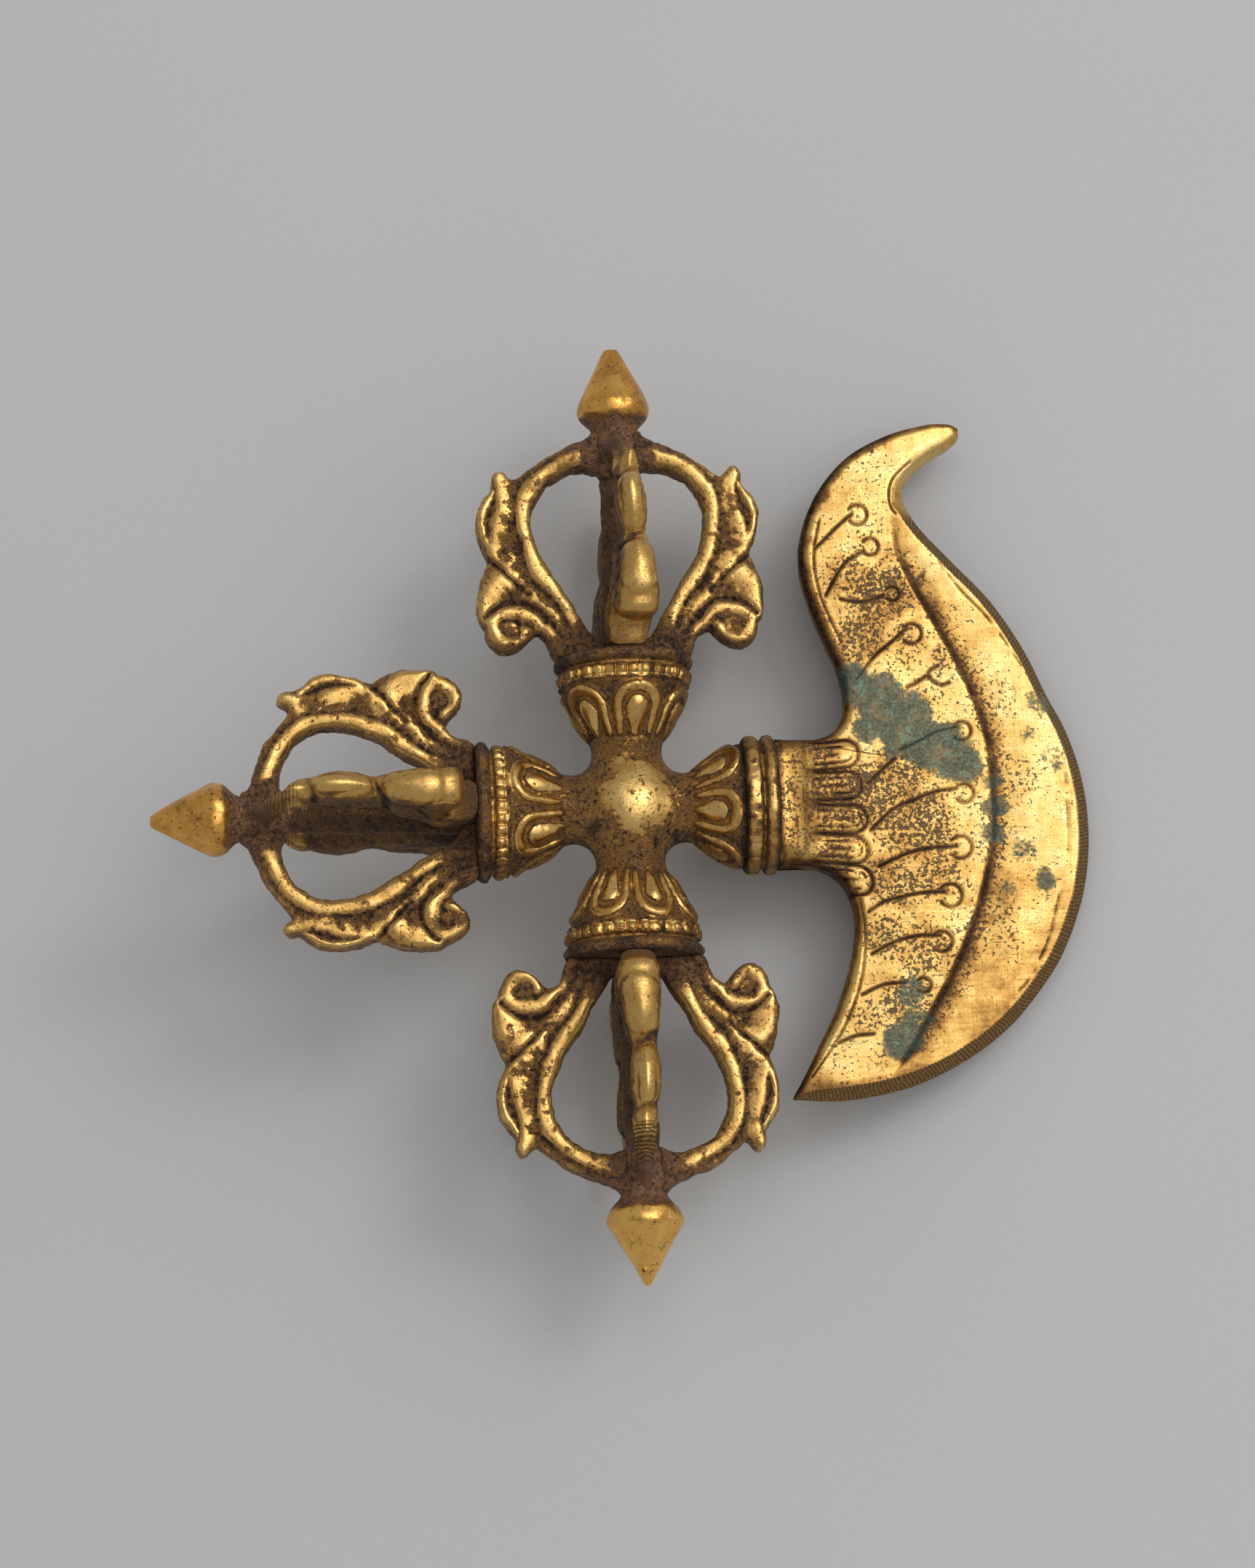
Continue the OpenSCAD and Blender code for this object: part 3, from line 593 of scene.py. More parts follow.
def prong_skin(satin, seed, swell):
    """A prong along the arm, out from its axis and across, with its relief and distance from the outside.

    swell widens the ornament.
    """
    a, r = (np.arange(low, high, PRONG_STEP) for low, high in zip(PRONG_LOW, PRONG_HIGH))
    a, r = np.meshgrid(a, r, indexing="ij")
    rr = np.where(r > 12, 12 + (r - 12) / swell, r)
    flat = np.stack([a.ravel(), rr.ravel(), np.zeros(a.size)], 1)

    def lumps(size, k):
        return noise(flat, size, seed + k).reshape(a.shape)

    # each prong was bent and joined by hand
    ring = np.vstack([curve(OUTER, 4), curve(INNER if satin else INNER[:-4] + WEB, 4)])
    broad, small = (0.06, 0.03) if satin else (0.18, 0.09)
    edge = outline(a, rr, ring) + broad * lumps(2.6, 0) + small * lumps(0.9, 1)
    if satin:
        notches = sum(deep * peak(a - at, wide) for at, deep, wide in NOTCHES)
        edge += 0.25 * smooth(r, 13, 18) + smooth(r, 14, 16.5) * notches
    loose = smooth(r, 9, 14) * fall(a, 46, 50)
    along, out = a + 0.38 * lumps(5.5, 5) * loose, rr + 0.34 * lumps(4.5, 6) * loose
    high = ornament(along, out, 1 + 0.14 * lumps(2.6, 7))
    if satin:
        half = np.interp(a, BULB_AT, BULB_HALF) - 0.5 * smooth(r, 11, 20)
        half = half + 0.26 * (high - 0.6) * smooth(r, 6, 10) + 0.12 * lumps(3.4, 8)
    else:
        half = 1.84 + 0.12 * lumps(3, 2) + 0.7 * high + 0.35 * smooth(a, 47, 50) + 0.7 * fall(a, 21.5, 24.5)
    w = np.arange(-PRONG_HALF, PRONG_HALF + 0.01, PRONG_STEP)
    edge, half, foot_gap = (v[:, :, None] for v in (edge, half, PRONG_FOOT - a))
    field = np.maximum(soft_max(edge, np.abs(w) - half, 3.0 if satin else 1.0), foot_gap)
    skin = Skin(*surface(field, (*PRONG_LOW, w[0]), PRONG_STEP)).relax(2)
    outside = near(a, rr, curve(OUTER, 4))[0]
    return skin, *(looked_up(grid, PRONG_LOW, PRONG_STEP, skin.p) for grid in (high, outside))


def satin_prong(skin, seed, from_outside, marks, foot, lean):
    """Creases, bends and wears a smooth prong. marks, foot and lean say how filed, dark and bent it is."""
    p = skin.p
    face = np.abs(skin.normals()[:, 2])
    neck = smooth(p[:, 0], 48.4, 51.0)
    root = fall(p[:, 0] + 0.35 * (p[:, 1] - 6) + 0.7 * noise(p, 1.5, seed + 13), 23.3, 28.3)
    crease = np.zeros(len(p))
    for at, slope, wide, deep in CREASES:
        at = at + slope * p[:, 2] + 0.25 * noise(p, 1.2, seed + 12)
        deep = deep * (0.55 - 0.45 * np.clip(p[:, 2] / 1.6, -1, 1))
        crease = np.maximum(crease, deep * peak(p[:, 0] - at, wide))
    crease *= smooth(p[:, 1], 10, 13)
    skin.push(-0.38 * crease)
    p = skin.p
    a, r = p[:, 0], p[:, 1]
    bend = 0.35 * np.sin((a - 21) / 5.0 + seed) * smooth(a, 22, 28) * fall(a, 44, 50)
    skin.p = p + (bend + lean * smooth(r, 4, 17))[:, None] * (0, 0, 1)
    gold = fall(from_outside + 0.7 * noise(p, 1.8, seed + 9) + 0.25 * noise(p, 0.7, seed + 15), 2.5, 3.5)
    gold = gold * fall(a + 0.5 * noise(p, 1.0, seed + 16), 46.2, 47.6)
    gold = gold * (1 - 0.4 * marks * smooth(a, 45.6, 46.4))
    gold = gold * (1 - 0.7 * smooth(face + 0.1 * noise(p, 1.2, seed + 18), 0.72, 0.97))
    skin.push(0.08 * noise(p, 2.6, seed + 3) + (0.01 + 0.08 * (1 - gold)) * noise(p, 0.7, seed + 4))
    worn = 0.27 + 0.5 * gold + 1.6 * skin.relief(8) + 0.4 * skin.relief(60) - 0.5 * crease
    worn = worn - foot * root * fall(r, 12, 15) + 0.2 * marks * smooth(a, 46.0, 46.8) * fall(a, 49.8, 51)
    filed = marks * smooth(a, 45.4, 46.2) * fall(a, 50, 50.8) * (from_outside < 2.4)
    skin.mask = {"worn": unit(worn * (1 - 0.5 * neck) * (1 - 0.1 * root)),
                 "red": unit(0.85 * neck + 0.2 * root), "along": a, "filed": filed}


def cast_prong(skin, seed, crest):
    """Roughens a cast prong and wears its heights."""
    p = skin.p
    a, r = p[:, 0], p[:, 1]
    face = np.abs(skin.normals()[:, 2])
    root = fall(a + 0.35 * (r - 6) + 0.7 * noise(p, 1.5, seed + 13), 23.3, 28.3)
    neck = np.maximum(smooth(a + 0.6 * noise(p, 1.5, seed + 14), 49.6, 51.8),
                      smooth(a, 44, 47) * fall(r + 0.9 * noise(p, 1.3, seed + 19), 3.9, 6.0))
    height = crest + 0.26 * noise(p, 1.3, seed + 9) + 0.2 * noise(p, 0.6, seed + 15)
    gold = smooth(height - 0.45 * root - 0.4 * neck, 0.52, 0.92)
    gold = gold * smooth(face + 0.15 * noise(p, 0.8, seed + 16), 0.3, 0.75)
    gold = gold * (1 - 0.45 * smooth(noise(p, 1.6, seed + 20), 0.25, 0.6))
    rough = 1 - gold
    skin.push(0.1 * noise(p, 2.2, seed + 3) + (0.012 + 0.11 * rough) * noise(p, 0.7, seed + 4)
              + 0.05 * rough * noise(p, 0.45, seed + 17))
    worn = 0.385 + 0.3 * gold + 2.6 * np.clip(skin.relief(8), -0.1, 0.2) + 0.35 * skin.relief(60)
    volute = np.exp(-((a - 25.6) ** 2 + (r - 15.4) ** 2) / 1.2)
    skin.mask = {"worn": unit(worn * (1 - 0.35 * neck) * (1 - 0.42 * root) - 0.05 * volute),
                 "red": unit(0.85 * neck + 0.45 * root + 0.2 * volute)}


def prongs(arm):
    for index, side in enumerate(SIDES):
        satin = side in ("front", "back")
        seed = SEEDS["prong"] + 10 * list(ARMS).index(arm) + 50 * index
        skin, crest, from_outside = prong_skin(satin, seed, SWELL.get((arm, side), 0.97))
        if satin:
            lean = LEAN[arm] if side == "front" else 0.0
            satin_prong(skin, seed, from_outside, FILE_MARKS[arm], DARK_FOOT[arm], lean)
        else:
            cast_prong(skin, seed, crest)
        points = turned(turned(skin.p, SIDES[side], axis=0), ARMS[arm])
        build(f"{arm}_{side}_prong", skin, points, "applied_brass" if satin else "cast_brass")


# Turned pieces
def resampled(profile, step):
    """Points about step apart along a polyline of (along, radius), fewer on the flat ends."""
    p = np.asarray(profile, float)
    out = [p[:1]]
    for a, b in zip(p[:-1], p[1:]):
        gap = np.linalg.norm(b - a)
        count = max(1, round(gap / (step if min(a[1], b[1]) > 0.1 else gap / 8)))
        out.append(a + (b - a) * (np.arange(1, count + 1) / count)[:, None])
    return np.vstack(out)


def revolved(profile, step, around, relief=None):
    """A turned skin; relief(along, angle, radius) is the height to add out from the axis."""
    line = resampled(profile, step)
    angle, a = np.meshgrid(np.linspace(0, 2 * math.pi, around, endpoint=False), line[:, 0])
    radius = np.repeat(line[:, 1:], around, 1)
    if relief is not None:
        radius += relief(a, angle, radius)
    rings = np.stack([a, -radius * np.sin(angle), radius * np.cos(angle)], 2)
    return Skin(*loft(rings[:, ::-1] if rings[-1, 0, 0] > rings[0, 0, 0] else rings))


def facing(skin):
    """The place along the axis, the angle from the front and the radius of each vertex."""
    x, y, z = skin.p.T
    return x, np.arctan2(-y, z), np.hypot(y, z)


# How many petals a cup has, and the degrees that the first is turned from the front
PETALS = {"upper": (6, 11), "pommel": (6, 24), "lower": (7, 31), "blade": (6, 17)}
PETAL_H, PETAL_R = 0.7, 8.6


def petal_relief(along, angle, start, end, arm, seed):
    """Petals in relief: a broad raised border round a drop-shaped boss, with dark grooves between."""
    count, shift = PETALS[arm][0], math.radians(PETALS[arm][1])
    pitch = 2 * math.pi / count
    turn = angle - shift + pitch / 2
    which = np.floor(turn / pitch).astype(int) % count
    wobble = np.random.default_rng(seed).uniform(-1, 1, (2, count))
    y = (turn % pitch - pitch / 2 + 0.035 * wobble[0][which]) * PETAL_R
    along = along + 0.25 * wobble[1][which]
    top = end - 3.3
    half = 3.28 * 6 / count
    arc = [(top + 2.8 * math.sin(t), half * math.cos(t)) for t in np.linspace(0, math.pi / 2, 9)]
    arc = [(start - 1.2, half + 0.15)] + arc
    border = dome(near(along, y, arc + [(x, -v) for x, v in arc[-2::-1]])[0], 0.84, PETAL_H)
    d, share, _ = near(along, y, [(start - 0.6, 0.0), (start + 0.22 * (end - start), 0.0), (top - 0.35, 0.0)])
    boss = dome(d, (0.55 + 1.55 * share ** 0.7) * 6 / count, PETAL_H * 1.25)
    gate = smooth(along, start - 0.9, start + 1.3) * fall(along, end + 0.25, end + 0.7)
    return np.maximum(border, boss) * gate


def bead_relief(along, angle, middle, half, count, height, seed):
    pitch = 2 * math.pi / count
    k = np.floor(angle / pitch).astype(int) % count
    chance = np.random.default_rng(seed).random((2, count))
    t = ((angle / pitch) % 1 - 0.5) * 2 + 0.25 * (chance[1][k] - 0.5)
    return height * (0.65 + 0.55 * chance[0][k]) * band(t, 1, 3.5) * band(along - middle, half, 3)


CUP_STEP, CUP_AROUND = 0.145, 400


def cast_cup(profile, relief, seed, flank, rim=None):
    """A cast cup or collar: turned, raised ornament, rough dark grounds and rubbed heights."""

    def raised(a, angle, r):
        return smooth(r, 3.2, 4.4) * relief(a, angle)

    skin = revolved(profile, CUP_STEP, CUP_AROUND, raised).relax(1)
    a, angle, r = facing(skin)
    outer = smooth(r, 3.4, 4.4)
    gold = smooth(relief(a, angle) + 0.12 * noise(skin.p, 1.2, seed + 2), 0.16, 0.42)
    inner = outer * smooth(a, profile[0][0], profile[0][0] + 0.3)
    rough = 0.03 + 0.08 * (1 - gold)
    skin.push(inner * (0.11 * noise(skin.p, 2.0, seed) + rough * noise(skin.p, 0.7, seed + 1)))
    worn = 0.32 + 0.64 * gold + 2.2 * skin.relief(10) + 0.25 * skin.relief(80)
    worn = worn + 0.09 * noise(skin.p, 2.5, seed + 5)
    # painted shade: the sides that face along the layout's plane are darkened
    painted_flank_shade = smooth(np.abs(np.sin(angle)), *flank)
    red = 0 * a
    if rim:
        rolled = smooth(a, 19.4, 19.9) * fall(a, 20.6, 21.1)
        worn = worn + 0.34 * rolled * smooth(noise(skin.p, 2.6, seed + 6), -0.5, 0.5)
        worn = worn * (1 - 0.25 * smooth(a, rim, rim + 0.3))
        red = 0.35 * smooth(a, rim - 1.8, rim - 0.4) * (1 - painted_flank_shade)
    skin.mask = {"worn": unit(worn * (1 - 0.34 * painted_flank_shade) * (0.4 + 0.6 * outer)), "red": red}
    return skin


def cup(arm):
    seed = seed_of("cup", arm)
    profile = [
        (7.9, 0.0), (7.9, 4.2), (8.6, 4.68), (9.3, 5.0), (10.4, 5.5), (12, 6.4), (13.6, 7.3), (15.2, 8.1),
        (16.6, 8.65), (16.95, 8.85), (17.15, 8.75), (17.35, 8.6), (17.6, 8.7), (18.4, 8.8), (18.75, 8.75),
        (18.95, 8.55), (19.2, 8.6), (19.45, 9.1), (19.8, 9.5), (20.3, 9.62), (20.8, 9.5), (21.1, 9.25),
        (21.2, 8.9), (21.2, 0.0)]

    def relief(a, angle):
        beads = bead_relief(a, angle, 18.05, 0.98, 33, 0.7, seed) * (a > 17.0) * (a < 19.1)
        roll = 0.45 * band(a - 20.2, 0.75, 2) * (0.6 + 0.4 * np.sin(5 * angle + seed))
        ledge = 0.3 * band(a - 16.95, 0.35, 2)
        return petal_relief(a, angle, 9.4, 16.2, arm, seed) + beads + 0.35 * roll + ledge

    skin = cast_cup(profile, relief, seed, (0.72, 0.97), 20.9)
    build(f"{arm}_cup", skin, turned(skin.p, ARMS[arm]), "cast_brass")


def blade_cup():
    seed = SEEDS["blade_cup"]
    profile = [
        (7.9, 0.0), (7.9, 4.2), (8.5, 4.68), (9.2, 5.05), (10.4, 5.85), (12, 6.9), (13.6, 7.85),
        (15.0, 8.5), (15.6, 8.6), (15.6, 0.0)]

    def relief(a, angle):
        return petal_relief(a, angle, 8.9, 15.1, "blade", seed)

    skin = cast_cup(profile, relief, seed, (0.78, 0.98))
    build("blade_cup", skin, skin.p, "cast_brass")


# Place along the axis and across it of each pit in the collar
COLLAR_PITS = [(16.9, -4.6), (17.2, 2.0), (16.6, 3.2), (17.3, 4.0), (17.0, 5.2), (16.8, -6.8)]


def collar():
    seed = SEEDS["collar"]
    bead_at, ring_at = 16.85, 19.2
    profile = [
        (15.6, 0.0), (15.6, 8.6), (15.75, 8.9), (16.0, 9.0), (17.7, 9.0), (18.0, 8.8), (18.15, 8.6),
        (18.35, 8.8), (18.7, 9.2), (19.3, 9.3), (19.9, 9.2), (20.3, 8.9), (20.4, 8.6), (20.4, 0.0)]

    def relief(a, angle):
        beads = bead_relief(a, angle, bead_at, 1.15, 24, 0.5, seed)
        rubbed = 0.46 * band(a - bead_at, 1.2, 4)
        # the beads in front are rubbed into one band
        front = smooth(np.cos(angle), 0.2, 0.85)
        ring = 0.36 * band(a - ring_at, 0.95, 4)
        return (a > 15.6) * (a < 20.35) * (beads * (1 - 0.9 * front) + rubbed * (0.3 + 0.7 * front) + ring)

    skin = cast_cup(profile, relief, seed, (0.8, 0.99))
    x, y, z = skin.p.T
    pits = sum(np.exp(-((x - at) ** 2 + (-y - across) ** 2) / 0.16) for at, across in COLLAR_PITS)
    pits = unit(pits) * (z > 0)
    skin.push(-0.4 * pits)
    skin.mask["worn"] = unit(skin.mask["worn"] - 0.6 * pits)
    build("blade_collar", skin, skin.p, "cast_brass")


TIP_STEP, TIP_AROUND = 0.16, 220
# Reach of each tip, how blunt its point is, and how many filed facets it has from which angle
TIPS = {"upper": (65.6, 0.95, 7, 0.3), "pommel": (65.95, 0.75, 6, 0.1), "lower": (66.15, 0.35, 5, 0.62)}


def tip(arm):
    seed = seed_of("tip", arm)
    reach, blunt, count, start = TIPS[arm]
    shape = curve([
        (51.9, 3.5), (52.6, 3.25), (53.4, 3.15), (54.2, 3.4), (55.0, 4.1), (55.7, 4.75), (56.4, 5.0),
        (57.2, 4.92), (58.2, 4.55), (reach - 3.5, blunt + 1.75), (reach - 0.5, blunt + 0.22),
        (reach - 0.12, blunt - 0.12), (reach, max(blunt - 0.35, 0.05))], 6)
    neck = [(46.4, 0.0), (46.4, 1.2), (47.0, 2.3), (47.9, 3.0), (49.2, 3.4), (50.6, 3.5)]
    skin = revolved(neck + shape.tolist() + [(reach, 0.0)], TIP_STEP, TIP_AROUND)
    a, angle, r = facing(skin)
    local = (angle - start) % (2 * math.pi / count) - math.pi / count
    facet = (np.cos(math.pi / count) / np.cos(local) - 1) * r * smooth(a, 56.0, 57.5) * 0.5
    rise = facet + 0.1 * noise(skin.p, 2.6, seed) + (0.03 + 0.1 * (a < 54)) * noise(skin.p, 0.8, seed + 1)
    skin.push(smooth(a, 46.5, 47.0) * (r > 0.5) * rise)
    tight, wide = skin.relief(10), skin.relief(80)
    cone = smooth(a + 0.5 * noise(skin.p, 1.4, seed + 3), 54.9, 56.1)
    worn = 0.32 + (0.7 if arm == "lower" else 0.51) * cone + 2.0 * tight + 0.3 * wide
    if arm == "lower":
        pit = np.exp(-((a - reach + 2.1) ** 2 + (r * (angle - 0.35)) ** 2) / 0.1)
        skin.push(-0.3 * pit)
        worn = worn - 0.7 * pit
    worn = worn + 0.09 * noise(skin.p, 3, seed + 4) + 0.08 * noise(skin.p, 1.2, seed + 5)
    skin.mask = {"worn": unit(worn), "red": 0.85 * (1 - cone)}
    build(f"{arm}_tip", skin, turned(skin.p, ARMS[arm]), "tip_brass")


POST_FROM, POST_TO = 21.2, 47.3
POST_ALONG, POST_AROUND = 150, 88


def post(arm):
    """The worn square bar inside the prongs."""
    seed = seed_of("post", arm)
    turn = np.linspace(0, 2 * math.pi, POST_AROUND, endpoint=False)
    angle, x = np.meshgrid(turn, np.linspace(POST_FROM, POST_TO, POST_ALONG))
    c, s = np.cos(angle), np.sin(angle)
    half = np.interp(x, [POST_FROM, POST_TO], [2.9, 2.15])
    r = half * 1.03 / (np.abs(c) ** 1.5 + np.abs(s) ** 1.5) ** (1 / 1.5)
    rings = np.stack([x, r * c, r * s], 2)
    skin = Skin(*loft(np.concatenate([rings[:1] * (1, 0, 0), rings, rings[-1:] * (1, 0, 0)])))
    side = np.hypot(skin.p[:, 1], skin.p[:, 2]) > 0.6
    skin.push(side * (0.24 * noise(skin.p, 2.2, seed) + 0.12 * noise(skin.p, 0.8, seed + 1)))
    x = skin.p[:, 0]
    worn = 0.34 + 1.3 * skin.relief(10) + 0.3 * skin.relief(60) + 0.12 * noise(skin.p, 2.0, seed + 2)
    skin.mask = {"worn": unit(worn), "red": 0.5 * fall(x, 22, 26) + 0.8 * smooth(x, 43, 46.5)}
    build(f"{arm}_post", skin, turned(skin.p, ARMS[arm]), "recess_brass")


# Hub
BALL_R, STUB_R, STUB_END, HUB_STEP = 7.35, 4.76, 9.8, 0.22
# Place and size of each casting dent in front
DENTS = [(6.3, 3.3, 0.9), (6.1, -4.6, 0.6), (-5.2, -3.4, 1.0), (3.2, -5.6, 0.5), (5.6, -7.4, 0.5)]


def hub():
    g = np.arange(-10.2, 10.21, HUB_STEP)
    x, y, z = np.meshgrid(g, g, g, indexing="ij")
    flat = np.stack([x.ravel(), y.ravel(), z.ravel()], 1)
    ball = np.sqrt(x * x + y * y + (z * 1.03) ** 2) - BALL_R
    # each stub spreads with its cup's foot, which comes out of it
    along_y = np.hypot(x, z) - STUB_R - 0.32 * smooth(np.abs(y), 7.4, 9.5)
    along_x = np.hypot(y, z) - STUB_R - 0.32 * smooth(np.abs(x), 7.4, 9.5)
    field = soft_min(soft_min(along_x, along_y, 2.0), ball, 2.2)
    field = field + 0.12 * noise(flat, 2.8, 501).reshape(x.shape)
    field = np.maximum(field, np.maximum(np.abs(x), np.abs(y)) - STUB_END)
    skin = Skin(*surface(field, (g[0],) * 3, HUB_STEP)).relax(3)
    p = skin.p
    x, y, z = p.T
    skin.push(0.08 * noise(p, 0.7, 503) + 0.1 * noise(p, 1.8, 507))
    dents = sum(np.exp(-((x - dx) ** 2 + (y - dy) ** 2) / size ** 2) for dx, dy, size in DENTS)
    dents = unit(dents) * (z > 0)
    skin.push(-0.35 * dents)
    front = np.abs(skin.normals()[:, 2])
    patch = np.hypot((x - 0.6) / 4.6, (y - 0.9) / 5.6) + 0.22 * noise(p, 2.2, 504)
    patch = patch + 0.1 * noise(p, 0.8, 505)
    polished = fall(patch + 0.06 * noise(p, 0.5, 508), 0.72, 1.08) * smooth(front, 0.25, 0.6)
    worn = 0.45 + 0.46 * polished - 0.35 * smooth(noise(p, 0.5, 509), 0.5, 0.72)
    worn = worn + 1.6 * np.clip(skin.relief(8), -0.1, 0.2) + 0.12 * noise(p, 1.6, 506) - 0.25 * dents
    skin.mask = {"worn": unit(worn * (1 - 0.35 * smooth(1 - front, 0.5, 0.95))), "red": 0 * worn}
    build("hub", skin, p, "cast_brass")


# Blade
EDGE_MID, EDGE_R, HALF_T, EDGE_HALF_T = (26.2, -4.1), 37.5, 2.4, 0.4
NECK_HALF, NECK_REACH, NECK_RISE, ROOT_HALF = 8.9, 11, 2.15, 12
COLLAR_TO, COLLAR_HALF = 20.62, 8.4
BLADE_ALONG, BLADE_ACROSS, BLADE_BACK, WALL_STEPS = 560, 138, 26, 4


def round_edge(x, y, degrees):
    t = math.radians(degrees)
    return (x, y, EDGE_MID[0] + EDGE_R * math.cos(t), EDGE_MID[1] + EDGE_R * math.sin(t))


# Stations from the lower tip to the horn's: the spine's point and the edge's, or the edge's angle on its arc
STATIONS = [
    (21, -40.9, -97.5), (22.6, -38.2, -87), (24.7, -34.2, -73.5), (27.5, -28.8, -60), (29.5, -23.3, -46.5),
    (30.6, -17.7, -33.5), (30.3, -14.2, -25), (28.9, -11.2, -17), (26.2, -9.3, -12.5), (23.2, -8.8, -10),
    (20.9, -8.8, -8), (20.45, -8.6, -7), (20.4, -4, -3), (20.4, 4, 3), (20.45, 8.6, 7), (20.9, 8.8, 8.2),
    (23.2, 8.8, 10), (26.2, 8.9, 12.5), (28.8, 10.0, 16.5), (30.3, 12.8, 22.7), (30.1, 17.4, 29.6),
    (28.2, 22.5, 55.9, 21.1), (26.2, 28, 51.6, 28.1), (25.1, 33.6, 46.3, 34.1), (25.6, 38.4, 42, 39.1),
    (28.0, 44.1, 40.0, 43.2), (32.4, 49.1, 41.1, 45.9), (38.2, 52.15, 43.9, 48.4), (43.5, 53.5, 46.6, 50.0),
    (46.2, 53.6, 48.0, 51.2), (47.3, 53.4, 48.4, 52.0), (48.0, 53.0, 48.3, 52.7)]
RIBS = [row if len(row) == 4 else round_edge(*row) for row in STATIONS]
GROOVE = [
    (38.5, 40.1), (38.6, 35.9), (40.6, 30.7), (43.2, 25.6), (45.8, 20.4), (48.0, 15.3), (49.6, 10.1),
    (50.4, 5.0), (50.2, -5.3), (49.1, -10.4), (47.6, -15.5), (45.5, -20.6), (42.9, -25.7), (39.8, -30.8),
    (36.7, -35.8), (35.2, -37.8)]
STEMS = [
    [(32.6, 40.6), (30.5, 38.9), (28.3, 36.8), (27.2, 35.8)],
    [(34.0, 35.3), (31.7, 34.0), (30.2, 32.1), (28.4, 29.0)], [(36.5, 28.9), (33.5, 28.0), (30.4, 28.5)],
    [(39.5, 24.2), (37.5, 22.4), (34.9, 20.3), (33.1, 18.2), (32.3, 17.1)],
    [(45.0, 16.3), (44.0, 15.9), (42.7, 16.5), (42.1, 17.3), (40.6, 16.4), (39.1, 15.7)],
    [(43.5, 18.6), (42.4, 18.0), (42.1, 17.3)], [(45.8, 9.9), (42.9, 9.3), (40.3, 8.0), (37.8, 6.9)],
    [(45.3, 1.2), (42.2, 0.8), (39.2, -0.3), (36.6, -1.3), (34.1, -3.4), (33.1, -4.4)],
    [(45.0, -6.9), (42.1, -7.0), (39.1, -7.4), (36.1, -8.5), (34.0, -9.5)],
    [(43.0, -13.3), (40.0, -13.3), (37.0, -13.8), (34.5, -14.4), (32.2, -15.8)],
    [(42.0, -19.3), (38.9, -19.3), (35.9, -20.0), (33.9, -20.9), (32.4, -21.7)],
    [(36.8, -25.8), (33.8, -26.0), (30.8, -27.3)], [(32.2, -32.8), (29.7, -33.0), (27.2, -33.9)],
    [(37.0, 5.7), (34.7, 3.8), (33.0, 2.2)]]
BORDERS = [

    [(30.5, -12.6), (31.3, -14.1), (31.7, -18.7), (31.1, -23.8), (30.0, -27.8), (27.5, -32.9), (23.5, -38.4)],
    [(28.0, 39.9), (27.0, 34.7), (27.7, 29.0), (30.3, 22.3)],
    [(41.2, 48.0), (38.8, 45.8), (38.0, 43.7), (38.1, 41.6), (38.7, 40.6)]]
DASHED = [

    [(60.5, 3.0), (60.6, 0.0), (60.4, -6.2), (60.1, -10.3), (58.4, -15.4), (56.9, -20.5), (54.1, -25.6),
     (52.2, -27.6)],
    [(55.9, 17.2), (53.3, 21.5), (50.5, 25.7), (46.9, 29.8), (44.2, 33.9)]]
# The whole lines, with half their width and their depth
STROKES = [(STEMS, 0.2, 1.0), (BORDERS, 0.15, 0.75)]
# Middle and radius of each engraved circle, then each tongue's middle and end
CIRCLES = [
    (33.3, 40.5, 1.4), (34.9, 35.9, 1.2), (37.7, 29.1, 1.0), (40.1, 23.3, 1.4), (46.4, 9.3, 1.3),
    (46.3, 0.5, 1.3), (45.4, -7.1, 1.55), (43.7, -13.8, 1.6), (42.2, -20.2, 1.4), (39.4, -26.2, 1.0)]
TONGUES = [(6.3, 31.8), (2.0, 32.1), (-2.6, 32.6), (-6.8, 32.5), (-10.9, 33.0)]
TONGUE_FROM, TONGUE_HALF = 25.0, 1.95
# Middle, size and strength of the green patches, and of the pitted fields
GREEN = [
    (38.4, 10.6, 5.2, 1.0), (34.8, 14.4, 4.5, 1.0), (42.8, 7.2, 4.8, 0.95), (46.4, 4.8, 3.8, 0.8),
    (50.6, 2.2, 2.6, 0.55), (50.5, -1.5, 2.9, 0.66), (50.2, -5.0, 2.5, 0.6), (57.2, -11.8, 2.2, 0.66),
    (57.3, 12.8, 2.4, 0.5), (59.0, 5.1, 2.6, 0.46), (55.6, 8.6, 2.0, 0.42), (54.2, -7.8, 2.6, 0.48),
    (51.6, -13.5, 2.2, 0.42), (37.8, -27.2, 3.2, 0.6), (36.2, -33.6, 3.6, 0.72), (38.6, -30.8, 3.2, 0.62),
    (31.6, 16.6, 3.4, 0.95), (33.2, 10.0, 2.8, 0.75)]
PITTED = [
    (33, 0, 7, 1.05), (38.5, -3.5, 8.5, 1.0), (37.5, 3.5, 6, 0.98), (36, -11, 6, 0.95), (42, -11, 6, 0.88),
    (34.5, -19, 5, 0.85), (40, -21, 6, 0.85), (31.5, -30, 4, 0.8), (37, -29, 6, 0.88), (33, 23, 5, 0.92),
    (35.8, 28.5, 6, 1.0), (31, 32, 4, 0.8), (38, 34, 3, 0.7), (39, 22, 5, 0.72), (43, 16, 4, 0.62),
    (46, 6, 4, 0.6), (28, 0, 8, 0.95), (53.0, 3.0, 5, 0.62), (53.5, -12, 6, 0.45), (50.5, -20, 6, 0.5),
    (51.5, 14.0, 5, 0.48), (46.5, 25.5, 4, 0.5), (34.5, 36.0, 3, 0.6), (33, -36, 3, 0.6),
    (23.5, 0, 6, 0.76), (23.5, 5, 5, 0.76), (23.5, -5, 5, 0.76), (27, 8, 4, 0.95), (27.5, -8, 4, 0.95),
    (49.5, -15, 5, 0.7), (44.5, 20.0, 3, 0.8)]


